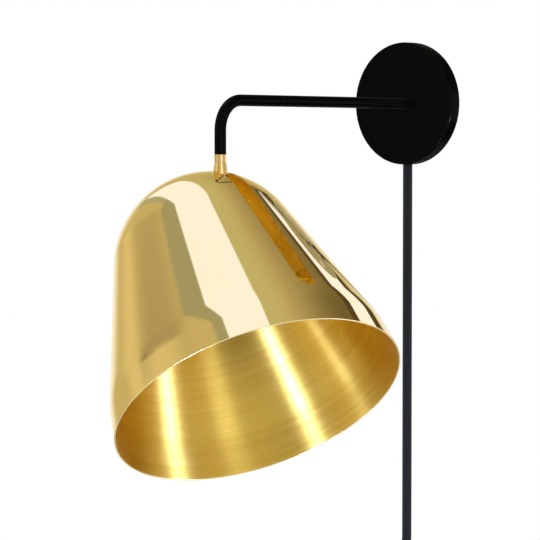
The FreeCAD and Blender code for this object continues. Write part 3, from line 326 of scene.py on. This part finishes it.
def uneven_roughness(tree, shader, place, scale, least, spread):
    """Roughness that wanders by noise, from the least value up by the spread."""
    rough = math_node(tree, "MULTIPLY_ADD", noise(tree, place, scale), spread, least)
    link(tree, rough, shader, "Roughness")


# ---- materials --------------------------------------------------------------------------------
def once(make):
    """Each material is made one time and shared."""
    made = []

    def shared():
        if not made:
            made.append(make())
        return made[0]
    return shared


BRAID_STRANDS = 12
BRAID_LAY = 2.4 * MM            # along the cord from one strand to the next
BRAID_RELIEF = 0.25 * MM


@once
def braid():
    """Textile braid: two sets of strands that wind round the cord and cross, with painted shade: the tops are
    lighter and the hollows between the strands darker.
    """
    material, tree, shader, _ = surface("cord_braid", Roughness=0.8, Specular_IOR_Level=0.1,
                                        Sheen_Weight=0.15, Sheen_Roughness=0.4)
    place = add(tree, "UVMap").outputs[0]
    split = add(tree, "SeparateXYZ", None, Vector=place).outputs
    around = math_node(tree, "MULTIPLY", split[0], 2 * math.pi * BRAID_STRANDS)
    along = math_node(tree, "MULTIPLY", split[1], 2 * math.pi / BRAID_LAY)
    one = math_node(tree, "SINE", math_node(tree, "ADD", around, along))
    other = math_node(tree, "SINE", math_node(tree, "SUBTRACT", around, along))
    height = math_node(tree, "MAXIMUM", one, other)
    # Painted shade: colour by strand height, near black in the hollows between strands and lighter on the tops.
    lit_tops_mask = soft_step(tree, height, 0.1, 1.0)
    colour = colour_mix(tree, lit_tops_mask, (0.001, 0.001, 0.0015, 1), (0.034, 0.041, 0.050, 1))
    link(tree, colour, shader, "Base Color")
    link(tree, bump(tree, height, BRAID_RELIEF, 0.7), shader, "Normal")
    return material


@once
def black_satin():
    """Satin black powder coat with a very fine grain."""
    material, tree, shader, place = surface("black_satin_coat",
                                            Base_Color=(0.0015, 0.0015, 0.0017, 1),
                                            Specular_IOR_Level=0.0, Coat_Weight=0.1,
                                            Coat_Roughness=0.2)
    grain = noise(tree, place, 2500, 3)
    uneven_roughness(tree, shader, place, 60, 0.26, 0.08)
    link(tree, bump(tree, grain, 0.01 * MM, 0.4), shader, "Normal")
    return material


def in_shade(tree, place):
    """A place in the row's frame, in the shade's own frame."""
    inverse = shade_place()[0].inverted()
    made = add(tree, "Mapping", None, Vector=place, Location=inverse.to_translation(),
               Rotation=inverse.to_euler())
    return made.outputs[0]


def round_shade(tree, place):
    """The way round the shade's axis at a place, in the world."""
    place_matrix = shade_place()[0]
    away = add(tree, "VectorMath", {"operation": "SUBTRACT"}, in_0=place,
               in_1=place_matrix.to_translation()).outputs[0]
    across = add(tree, "VectorMath", {"operation": "CROSS_PRODUCT"},
                 in_0=place_matrix.col[2].to_3d(), in_1=away).outputs[0]
    turned = add(tree, "VectorTransform", {"vector_type": "VECTOR", "convert_from": "OBJECT",
                                           "convert_to": "WORLD"}, Vector=across)
    return turned.outputs[0]


def brass(name):
    return surface(name, Metallic=1.0, Base_Color=(0.90, 0.72, 0.36, 1),
                   Specular_Tint=(1, 0.95, 0.8, 1))


def round_and_up(tree, place):
    """How far round the shade's axis, in turns, and how high a place in the shade's frame is."""
    split = add(tree, "SeparateXYZ", None, Vector=place).outputs
    turns = math_node(tree, "DIVIDE", math_node(tree, "ARCTAN2", split[1], split[0]), 2 * math.pi)
    return turns, split[2]


@once
def brass_polished():
    """Mirror polish, with the faintest waves, fine polishing lines and hazy wipe marks."""
    material, tree, shader, place = brass("brass_mirror")
    place = in_shade(tree, place)
    turns, height = round_and_up(tree, place)
    flat = add(tree, "CombineXYZ", None, X=turns, Y=height).outputs[0]
    lines = noise(tree, stretched(tree, flat, (700, 12, 1)), 1, 3)
    tone = colour_mix(tree, soft_step(tree, lines, 0.35, 0.7),
                      (0.885, 0.71, 0.345, 1), (0.91, 0.73, 0.37, 1))
    link(tree, tone, shader, "Base Color")
    waves = noise(tree, place, 14, 1)
    soft_waves = bump(tree, waves, 0.05 * MM, 0.25)
    fine_lines = add(tree, "Bump", None, Height=lines, Distance=0.002 * MM, Strength=0.35,
                     Normal=soft_waves)
    link(tree, fine_lines.outputs[0], shader, "Normal")
    haze = soft_step(tree, noise(tree, stretched(tree, place, (30, 30, 6)), 1, 3), 0.45, 0.8)
    link(tree, math_node(tree, "MULTIPLY_ADD", haze, 0.03, 0.03), shader, "Roughness")
    return material


@once
def brass_brushed():
    """Circular brushing about the shade's axis, so that highlights stretch from apex to rim.

    The fine rings follow the distance down the sheet, which radius less height stands for.
    """
    material, tree, shader, place = brass("brass_brushed_inside")
    shader.inputs["Anisotropic"].default_value = 0.985
    shader.inputs["Anisotropic Rotation"].default_value = 0.25
    link(tree, round_shade(tree, place), shader, "Tangent")
    split = add(tree, "SeparateXYZ", None, Vector=in_shade(tree, place)).outputs
    flat = add(tree, "CombineXYZ", None, X=split[0], Y=split[1]).outputs[0]
    radius = add(tree, "VectorMath", {"operation": "LENGTH"}, in_0=flat).outputs["Value"]
    down = math_node(tree, "SUBTRACT", radius, split[2])
    path = add(tree, "CombineXYZ", None, X=split[0], Y=split[1], Z=down).outputs[0]
    fine = noise(tree, stretched(tree, path, (8, 8, 1600)), 1, 4)
    coarse = noise(tree, stretched(tree, path, (5, 5, 350)), 1, 3)
    rough = math_node(tree, "MULTIPLY_ADD", fine, 0.14, 0.22)
    link(tree, math_node(tree, "MULTIPLY_ADD", coarse, 0.08, rough), shader, "Roughness")
    link(tree, bump(tree, fine, 0.003 * MM, 0.4), shader, "Normal")
    tone = colour_mix(tree, soft_step(tree, coarse, 0.3, 0.75),
                      (0.89, 0.645, 0.13, 1), (0.97, 0.71, 0.17, 1))
    link(tree, tone, shader, "Base Color")
    return material


@once
def brass_edge():
    """The cut and smoothed edge of the sheet, brighter than its faces."""
    material, tree, shader, place = brass("brass_edge")
    uneven_roughness(tree, shader, place, 300, 0.3, 0.1)
    return material


@once
def brass_plain():
    """Turned brass with fine level rings, a little redder than the polished sheet."""
    material, tree, shader, place = brass("brass_satin")
    shader.inputs["Base Color"].default_value = (0.88, 0.62, 0.24, 1)
    turned = noise(tree, stretched(tree, place, (6, 6, 1500)), 1, 3)
    link(tree, math_node(tree, "MULTIPLY_ADD", turned, 0.08, 0.08), shader, "Roughness")
    link(tree, bump(tree, turned, 0.004 * MM, 0.5), shader, "Normal")
    return material


def plain_metal(name, colour, scale, least, spread):
    material, tree, shader, place = surface(name, Metallic=1.0, Base_Color=colour)
    uneven_roughness(tree, shader, place, scale, least, spread)
    return material


@once
def steel_zinc():
    return plain_metal("steel_zinc", (0.62, 0.63, 0.65, 1), 350, 0.25, 0.15)


@once
def pin_nickel():
    return plain_metal("pin_nickel", (0.74, 0.72, 0.68, 1), 500, 0.14, 0.08)


def plastic(name, colour, roughness, grain_depth):
    material, tree, shader, place = surface(name, Base_Color=colour, Specular_IOR_Level=0.4)
    uneven_roughness(tree, shader, place, 150, roughness, 0.08)
    link(tree, bump(tree, noise(tree, place, 1800, 3), grain_depth, 0.5), shader, "Normal")
    return material


@once
def black_plastic():
    return plastic("black_plastic_matt", (0.012, 0.012, 0.012, 1), 0.5, 0.03 * MM)


@once
def black_gloss_plastic():
    return plastic("black_plastic_smooth", (0.014, 0.014, 0.014, 1), 0.25, 0.006 * MM)


@once
def wire_insulation():
    return plastic("wire_sleeve", (0.5, 0.5, 0.48, 1), 0.45, 0.01 * MM)


@once
def slip_ring():
    return plastic("slip_ring_plastic", (0.78, 0.68, 0.52, 1), 0.35, 0.005 * MM)


FINISHES = {
    "black_satin": black_satin, "steel_zinc": steel_zinc, "brass_polished": brass_polished,
    "brass_plain": brass_plain, "black_plastic": black_plastic,
    "black_gloss_plastic": black_gloss_plastic, "braid": braid,
    "wire_insulation": wire_insulation, "slip_ring": slip_ring, "pin_nickel": pin_nickel,
}
# Pieces whose brass is turned or brushed in another way than the finish of their slot.
OTHER_FINISHES = {
    "arm_collar": brass_plain, "swivel_neck": brass_plain, "swivel_clip": brass_plain,
    "shade_lugs": brass_brushed, "shade_bracket": brass_brushed,
}
NOT_MIRRORED = ("rose_cover", "arm_tube")       # black pieces that the brass doesn't mirror


def finish_nodes():
    """Every carried-over piece gets the finish of its slot in the record, or its own."""
    for part in frame["record"]["subparts"]:
        node = part["node"]
        finish = OTHER_FINISHES.get(node, FINISHES[part["material_slot"]])
        piece = nodes[node]
        piece.data.materials.clear()
        piece.data.materials.append(finish())
    for name in NOT_MIRRORED:
        nodes[name].visible_glossy = False


# ---- shade ------------------------------------------------------------------------------------
SHADE_WALL = 1 * MM
DOME_RADIUS = 65.8 * MM
CONE_SLOPE = math.radians(17.25)
CONE_HEIGHT = 97.2 * MM
BLEND_RADIUS = 100 * MM
BAND_SLOPE = math.radians(8.8)
BAND_HEIGHT = 17.06 * MM
PIVOT_BELOW_APEX = 69.8 * MM
SLOT_ABOVE_RIM = 30.2 * MM
SLOT_HALF_WIDTH = 6.05 * MM
LIP_ROUND = 0.3 * MM
SHADE_COLUMNS = 288
DOME_STEPS = 40
BLEND_STEPS = 16
LIP_STEPS = 4
SLOT_STEPS = 32
STRAIGHT_STEP = 4 * MM
OUTSIDE, INSIDE, EDGE = 0, 1, 2


def arc(centre, radius, start, end, steps):
    """Points on an arc about (radius, height) centre, each with its outward normal."""
    points = []
    for i in range(steps + 1):
        slope = start + (end - start) * i / steps
        normal = (math.cos(slope), math.sin(slope))
        points.append((centre[0] + radius * normal[0], centre[1] + radius * normal[1], normal))
    return points


def shade_line(inset):
    """The shade's line from apex to rim, inset from its outer face, with outward normals."""
    dome = (0, PIVOT_BELOW_APEX - DOME_RADIUS)
    flank_top = (DOME_RADIUS * math.cos(CONE_SLOPE), dome[1] + DOME_RADIUS * math.sin(CONE_SLOPE))
    flank_end = (flank_top[0] + CONE_HEIGHT * math.tan(CONE_SLOPE), flank_top[1] - CONE_HEIGHT)
    blend = (flank_end[0] - BLEND_RADIUS * math.cos(CONE_SLOPE),
             flank_end[1] - BLEND_RADIUS * math.sin(CONE_SLOPE))
    line = arc(dome, DOME_RADIUS - inset, math.pi / 2, CONE_SLOPE, DOME_STEPS)
    line += arc(blend, BLEND_RADIUS - inset, CONE_SLOPE, BAND_SLOPE, BLEND_STEPS)
    rim_height = blend[1] + BLEND_RADIUS * math.sin(BAND_SLOPE) - BAND_HEIGHT
    rim_radius = line[-1][0] + (line[-1][1] - rim_height) * math.tan(BAND_SLOPE)
    return line, (rim_radius, rim_height, (math.cos(BAND_SLOPE), math.sin(BAND_SLOPE)))


def divided(line, step):
    """The same line with points added on its long straight stretches."""
    points = [line[0]]
    for point in line[1:]:
        last = points[-1]
        count = max(1, math.ceil(math.dist(last[:2], point[:2]) / step))
        for i in range(1, count + 1):
            share = i / count
            place = [last[k] + (point[k] - last[k]) * share for k in (0, 1)]
            normal = [last[2][k] + (point[2][k] - last[2][k]) * share for k in (0, 1)]
            points.append((*place, tuple(normal)))
    return points


def shade_outline():
    """Outer face down, round the rolled lip and up the inner face: (radius, height, normal, face)."""
    outer, outer_rim = shade_line(0)
    inner, inner_rim = shade_line(SHADE_WALL)
    lip_height = outer_rim[1] + LIP_ROUND
    outer_end = (outer_rim[0] - LIP_ROUND * math.tan(BAND_SLOPE), lip_height, outer_rim[2])
    inner_end = (inner_rim[0] - LIP_ROUND * math.tan(BAND_SLOPE), lip_height, inner_rim[2])
    rows = [(*p, OUTSIDE) for p in divided(outer + [outer_end], STRAIGHT_STEP)]
    lip = arc((outer_end[0] - LIP_ROUND, lip_height), LIP_ROUND, 0, -math.pi / 2, LIP_STEPS)
    lip += arc((inner_end[0] + LIP_ROUND, lip_height), LIP_ROUND, -math.pi / 2, -math.pi, LIP_STEPS)
    rows += [(*p, EDGE) for p in lip]
    back = [(r, h, (-n[0], -n[1])) for r, h, n in divided(inner + [inner_end], STRAIGHT_STEP)]
    return rows + [(*p, INSIDE) for p in reversed(back)]


def shade_solid():
    """The turned shell before its slot is cut."""
    rows = shade_outline()
    vertices, faces, kinds = [], [], []
    for radius, height, _, _ in rows:
        for k in range(SHADE_COLUMNS):
            angle = 2 * math.pi * k / SHADE_COLUMNS
            vertices.append((radius * math.cos(angle), radius * math.sin(angle), height))
    for i in range(len(rows) - 1):
        low, high = i * SHADE_COLUMNS, (i + 1) * SHADE_COLUMNS
        for k in range(SHADE_COLUMNS):
            after = (k + 1) % SHADE_COLUMNS
            faces.append((low + k, high + k, high + after, low + after))
            kinds.append(rows[i][3] if rows[i][3] == rows[i + 1][3] else EDGE)
    mesh = bpy.data.meshes.new("shade")
    mesh.from_pydata(vertices, [], faces)
    for face, kind in zip(mesh.polygons, kinds):
        face.material_index = kind
    shape = bmesh.new()
    shape.from_mesh(mesh)
    bmesh.ops.remove_doubles(shape, verts=shape.verts, dist=1e-6)
    shape.to_mesh(mesh)
    shape.free()
    return mesh


def prism(name, outline, along):
    """A closed prism from a flat outline that runs anticlockwise about the way it is drawn out."""
    count = len(outline)
    vertices = [Vector(p) for p in outline] + [Vector(p) + Vector(along) for p in outline]
    faces = [tuple(reversed(range(count))), tuple(range(count, 2 * count))]
    for i in range(count):
        after = (i + 1) % count
        faces.append((i, after, count + after, count + i))
    mesh = bpy.data.meshes.new(name)
    mesh.from_pydata(vertices, [], faces)
    for face in mesh.polygons:
        face.material_index = EDGE
    return mesh


def half_circle(radius, steps):
    return [(radius * math.cos(math.pi * i / steps), radius * math.sin(math.pi * i / steps))
            for i in range(steps + 1)]


def slot_cutters(rim_height, neck_offset):
    """The slot's long part with its lower round end, and its upper round end over the apex."""
    half = SLOT_HALF_WIDTH
    end = rim_height + SLOT_ABOVE_RIM + half
    top = PIVOT_BELOW_APEX + half
    arc_points = half_circle(half, SLOT_STEPS)
    side = [(0, neck_offset - x, end - y) for x, y in arc_points]
    side += [(0, neck_offset + half, top), (0, neck_offset - half, top)]
    long_part = prism("slot_long", side, (2 * DOME_RADIUS, 0, 0))
    upper = [(-y, neck_offset + x, half) for x, y in arc_points]
    # The upper end reaches into the long part, so that no thin wall is left between the two.
    upper += [(half, neck_offset - half, half), (half, neck_offset + half, half)]
    upper_end = prism("slot_upper", upper, (0, 0, top - half))
    return [long_part, upper_end]


def cut(target, cutter_mesh):
    """The target's mesh with the cutter's space taken out."""
    cutter = new_object(cutter_mesh.name, cutter_mesh)
    for material in target.data.materials:
        cutter_mesh.materials.append(material)
    cutter.matrix_world = target.matrix_world
    modifier = target.modifiers.new("cut", "BOOLEAN")
    modifier.object = cutter
    modifier.solver = "EXACT"
    modifier.operation = "DIFFERENCE"
    modifier.material_mode = "INDEX"
    bpy.context.view_layer.update()
    graph = bpy.context.evaluated_depsgraph_get()
    result = bpy.data.meshes.new_from_object(target.evaluated_get(graph))
    target.modifiers.clear()
    target.data = result
    bpy.data.objects.remove(cutter)


def profile_normal(rows, radius, height, kind):
    """The turned face's own normal at a place, between its two nearest rows of the same kind."""
    best, normal = None, None
    for first, second in zip(rows, rows[1:]):
        if first[3] != kind or second[3] != kind:
            continue
        run = (second[0] - first[0], second[1] - first[1])
        square = run[0] ** 2 + run[1] ** 2
        share = ((radius - first[0]) * run[0] + (height - first[1]) * run[1]) / square
        share = min(max(share, 0), 1)
        away = math.hypot(radius - first[0] - run[0] * share, height - first[1] - run[1] * share)
        if best is None or away < best:
            best = away
            normal = [first[2][k] + (second[2][k] - first[2][k]) * share for k in (0, 1)]
    return normal


def place_with_normals(mesh, place):
    """Puts the mesh in place, and gives its turned faces their true normals up to the slot's edge."""
    rows = shade_outline()
    known = {}
    normals = []
    for face in mesh.polygons:
        flat = face.material_index == EDGE
        for index in face.vertices:
            spot = mesh.vertices[index].co
            key = (index, face.material_index)
            if flat:
                normals.append(face.normal.copy())
                continue
            if key not in known:
                radius = math.hypot(spot.x, spot.y)
                across, up = profile_normal(rows, radius, spot.z, face.material_index)
                turned = Vector((spot.x, spot.y, 0)) / max(radius, 1e-9)
                known[key] = (turned * across + UP * up).normalized()
            normals.append(known[key])
    mesh.transform(place)
    mesh.shade_smooth()
    mesh.normals_split_custom_set([place.to_3x3() @ normal for normal in normals])


def make_shade():
    place, pivot = shade_place()
    shade = new_object("shade", shade_solid())
    for make in (brass_polished, brass_brushed, brass_edge):
        shade.data.materials.append(make())
    neck_offset = (place.inverted() @ pivot).y
    rim_height = shade_line(0)[1][1]
    for cutter in slot_cutters(rim_height, neck_offset):
        cut(shade, cutter)
    place_with_normals(shade.data, place)
    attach(shade, "shade")
    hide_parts("shade_shell")


# ---- light --------------------------------------------------------------------------------------
# The studio that polished metal mirrors in place of the white background. A direction is given by
# how far right and up of the large softbox's middle it lies, as two tangents.
PANEL_MIDDLE = Vector((-0.58256, 0.27165, 0.76604))
PANEL_RIGHT = Vector((-0.42262, -0.90631, 0))
PANEL_UP = Vector((0.69427, -0.32374, 0.64279))

ROOM = (0.64, 0.56, 0.32, 1)
BRIGHT_ROOM = (0.80, 0.70, 0.42, 1)
DIM_ROOM = (0.46, 0.39, 0.24, 1)
BROWN = (0.19, 0.15, 0.07, 1)
DEEP_BROWN = (0.10, 0.075, 0.03, 1)
CREAM = (1.11, 1.22, 1.78, 1)
WHITE = (1, 1, 1, 1)
GREY = (0.42, 0.42, 0.31, 1)
OLIVE = (0.47, 0.49, 0.40, 1)
NEUTRAL_ROOM = (0.76, 0.76, 0.74, 1)
AMBIENT = (0.8, 0.8, 0.8, 1)
GREEN_GOLD = (0.60, 0.59, 0.36, 1)

# Each panel: its corners, clockwise, the softness of its edge, and its tone. Later ones lie on top.
PANELS = [
    ([(3.0, 0.6), (3.0, -1.3), (1.12, -1.3), (1.12, 0.35)], 0.12, BRIGHT_ROOM),
    ([(1.3, -0.55), (1.3, -0.95), (0.4, -0.95), (0.4, -0.6)], 0.15, BRIGHT_ROOM),
    ([(1.12, 0.36), (1.12, -0.5), (0.66, -0.5), (0.64, 0.15)], 0.17, DIM_ROOM),
    ([(0.60, 0.45), (0.08, -0.66), (-0.04, -0.6), (0.4, 0.45)], 0.03, OLIVE),
    ([(0.88, 1.1), (0.82, 0.85), (0.66, 0.15), (0.3, 0.05), (0.5, 1.1)], 0.045, GREY),
    ([(0.1, 1.3), (-0.05, -0.4), (-0.24, -0.3), (-0.26, 1.3)], 0.2, GREEN_GOLD),
    ([(0.76, 1.3), (0.66, 0.95), (0.47, 0.38), (0.02, -0.57), (-0.11, -0.28), (0.03, 1.3)],
     0.012, CREAM),
    ([(-0.74, -0.02), (-0.93, -0.46), (-1.5, -1.05), (-1.5, 0.40)], 0.02, DEEP_BROWN),
    ([(-0.80, -0.06), (-0.93, -0.34), (-1.5, -0.52), (-1.5, 0.12)], 0.015, CREAM),
]
# The brown of the room's left side: how its edge leans, and where it and its foot fade in.
BROWN_LEAN = -0.25
BROWN_FROM, BROWN_FULL = -0.2, 1.05
BROWN_FOOT, BROWN_FOOT_FULL = -0.45, 0.0
# The white below: from where down it fades in, and from where to the left.
LOW_FROM, LOW_FULL = -0.45, -1.0
LOW_RIGHT, LOW_RIGHT_FULL = 0.35, -0.1

# Upright strips of light and dark round the horizon, which the neck mirrors: where each one starts
# and ends, in degrees to the right of straight away from the wall, and its brightness.
STRIPS = [
    (-72, -38, 0.12), (-36, -21, 1.1), (-2, 28, 0.45), (62, 76, 1.9), (100, 130, 0.5),
    (148, 180, 1.3),
]
STRIP_HEIGHT = 0.45
STRIP_HEIGHT_FULL = 0.3
STRIP_SOFTNESS = math.radians(5)


def strips(tree, way, colour):
    """The colour with the strips laid over it."""
    split = add(tree, "SeparateXYZ", None, Vector=way).outputs
    toward = math_node(tree, "ARCTAN2", split[0], math_node(tree, "MULTIPLY", split[1], -1))
    level = soft_step(tree, math_node(tree, "ABSOLUTE", split[2]), STRIP_HEIGHT, STRIP_HEIGHT_FULL)
    edge = STRIP_SOFTNESS
    for start, end, tone in STRIPS:
        low, high = math.radians(start), math.radians(end)
        inside = math_node(tree, "MULTIPLY", soft_step(tree, toward, low - edge, low + edge),
                           soft_step(tree, toward, high + edge, high - edge))
        inside = math_node(tree, "MULTIPLY", inside, level)
        colour = colour_mix(tree, inside, colour, (tone, tone, tone, 1))
    return colour


def studio_axes(tree, way):
    """How far right and up of the main panel's middle a direction lies, and how far ahead."""
    parts = []
    for axis in (PANEL_RIGHT, PANEL_UP, PANEL_MIDDLE):
        made = add(tree, "VectorMath", {"operation": "DOT_PRODUCT"}, in_0=way, in_1=axis)
        parts.append(made.outputs["Value"])
    ahead = math_node(tree, "MAXIMUM", parts[2], 0.02)
    return (math_node(tree, "DIVIDE", parts[0], ahead), math_node(tree, "DIVIDE", parts[1], ahead),
            soft_step(tree, parts[2], 0.02, 0.12))


def panel(tree, axes, corners, softness):
    """1 inside a flat panel and 0 outside it."""
    inside = axes[2]
    for (x0, y0), (x1, y1) in zip(corners, corners[1:] + corners[:1]):
        length = math.hypot(x1 - x0, y1 - y0)
        across, up = (y1 - y0) / length, -(x1 - x0) / length
        away = math_node(tree, "MULTIPLY_ADD", axes[0], across, -(x0 * across + y0 * up))
        away = math_node(tree, "MULTIPLY_ADD", axes[1], up, away)
        inside = math_node(tree, "MULTIPLY", inside, soft_step(tree, away, -softness, softness))
    return inside


def studio_colour(tree):
    """What polished metal mirrors: a gold-toned room with one large softbox and a few screens."""
    way = add(tree, "TexCoord").outputs["Generated"]
    axes = studio_axes(tree, way)
    right, up, ahead = axes
    behind = math_node(tree, "SUBTRACT", 1, ahead)
    colour = colour_mix(tree, behind, ROOM, NEUTRAL_ROOM)
    colour = strips(tree, way, colour)
    left = math_node(tree, "MULTIPLY", right, -1)
    to_left = math_node(tree, "MULTIPLY_ADD", up, BROWN_LEAN, left)
    to_left = math_node(tree, "MULTIPLY", soft_step(tree, to_left, BROWN_FROM, BROWN_FULL),
                        soft_step(tree, up, BROWN_FOOT, BROWN_FOOT_FULL))
    colour = colour_mix(tree, math_node(tree, "MULTIPLY", to_left, ahead), colour, BROWN)
    low = math_node(tree, "MULTIPLY", soft_step(tree, up, LOW_FROM, LOW_FULL),
                    soft_step(tree, right, LOW_RIGHT, LOW_RIGHT_FULL))
    colour = colour_mix(tree, math_node(tree, "MULTIPLY", low, ahead), colour, WHITE)
    for corners, softness, tone in PANELS:
        colour = colour_mix(tree, panel(tree, axes, corners, softness), colour, tone)
    return colour


def make_world():
    """White for the camera and through glass, the studio for mirrors, plain light for the rest."""
    world = bpy.data.worlds.new("studio")
    bpy.context.scene.world = world
    world.use_nodes = True
    tree = world.node_tree
    tree.nodes.clear()
    paths = add(tree, "LightPath").outputs
    seen = math_node(tree, "MAXIMUM", paths["Is Camera Ray"], paths["Is Transmission Ray"])
    unseen = colour_mix(tree, paths["Is Glossy Ray"], AMBIENT, studio_colour(tree))
    shown = colour_mix(tree, seen, unseen, WHITE)
    background = add(tree, "Background", None, Color=shown, Strength=1.0)
    output = add(tree, "OutputWorld")
    tree.links.new(background.outputs[0], output.inputs[0])


def softbox(name, place, target, size, power):
    """A square lamp that faces its target."""
    lamp = bpy.data.lights.new(name, "AREA")
    lamp.shape = "RECTANGLE"
    lamp.size = lamp.size_y = size
    lamp.energy = power
    made = new_object(name, lamp)
    made.location = place
    made.rotation_mode = "QUATERNION"
    made.rotation_quaternion = (Vector(place) - Vector(target)).to_track_quat("Z", "Y")
    made.visible_camera = False
    return made


KEY_PLACE = (-1.2, -1.6, 1.4)
KEY_TARGET = (0, -0.15, -0.15)
KEY_SIZE = 0.9
KEY_POWER = 12

STREAK_LAMP_DISTANCE = 1.2
STREAK_LAMP_SIZE = 0.11
STREAK_LAMP_COLOUR = (0.5, 0.6, 1.0)
# Lamps below and beside the shade. Each draws one streak up its brushed inside.
STREAK_LAMPS = [
    ("streak_left", (0.858, 0.416, -0.300), 17),
    ("streak_middle", (0.357, -0.839, -0.417), 15),
    ("streak_right", (-0.212, -0.653, -0.728), 2.2),
    ("streak_thin", (0.925, -0.164, -0.341), 1.4),
]


def make_lamps():
    key = softbox("key", KEY_PLACE, KEY_TARGET, KEY_SIZE, KEY_POWER)
    key.visible_glossy = False
    mouth = shade_place()[0].to_translation()
    for name, way, power in STREAK_LAMPS:
        place = mouth + Vector(way).normalized() * STREAK_LAMP_DISTANCE
        lamp = softbox(name, place, mouth, STREAK_LAMP_SIZE, power)
        lamp.data.color = STREAK_LAMP_COLOUR
        lamp.data.cycles.max_bounces = 0
        lamp.visible_diffuse = False


# Black cards beside the lamps, seen only in metal: they darken the two ends of the shade's inside.
CARD_DISTANCE = 0.85
CARD_SIZE = 0.5
CARDS = [("card_left", (0.42, 0.78, -0.42)), ("card_right", (-0.36, -0.08, -0.92))]


def make_cards():
    mouth = shade_place()[0].to_translation()
    half = CARD_SIZE / 2
    corners = [(-half, -half, 0), (half, -half, 0), (half, half, 0), (-half, half, 0)]
    material = surface("card_black", Base_Color=(0.02, 0.02, 0.02, 1), Roughness=0.9,
                       Specular_IOR_Level=0.0)[0]
    for name, way in CARDS:
        mesh = bpy.data.meshes.new(name)
        mesh.from_pydata(corners, [], [(0, 1, 2, 3)])
        mesh.materials.append(material)
        turn = Vector(way).to_track_quat("Z", "Y").to_matrix().to_4x4()
        mesh.transform(Matrix.Translation(mouth + Vector(way).normalized() * CARD_DISTANCE) @ turn)
        card = new_object(name, mesh)
        card.visible_camera = False
        card.visible_diffuse = False
        card.visible_shadow = False


FLOOR_Z = -1.5
FLOOR_RADIUS = 3.0
FLOOR_CORNERS = 96


def make_floor():
    points = []
    for i in range(FLOOR_CORNERS):
        angle = 2 * math.pi * i / FLOOR_CORNERS
        points.append((FLOOR_RADIUS * math.cos(angle), FLOOR_RADIUS * math.sin(angle), FLOOR_Z))
    mesh = bpy.data.meshes.new("floor")
    mesh.from_pydata(points, [], [tuple(range(FLOOR_CORNERS))])
    floor = new_object("floor", mesh)
    material, tree, shader, place = surface("floor_white", Roughness=0.8, Specular_IOR_Level=0.2)
    tone = colour_mix(tree, noise(tree, place, 3), (0.93, 0.93, 0.93, 1), (0.95, 0.95, 0.95, 1))
    link(tree, tone, shader, "Base Color")
    floor.data.materials.append(material)


make_camera()
make_cords()
finish_nodes()
make_shade()
make_world()
make_lamps()
make_cards()
make_floor()

bpy.context.scene.view_settings.view_transform = "Standard"
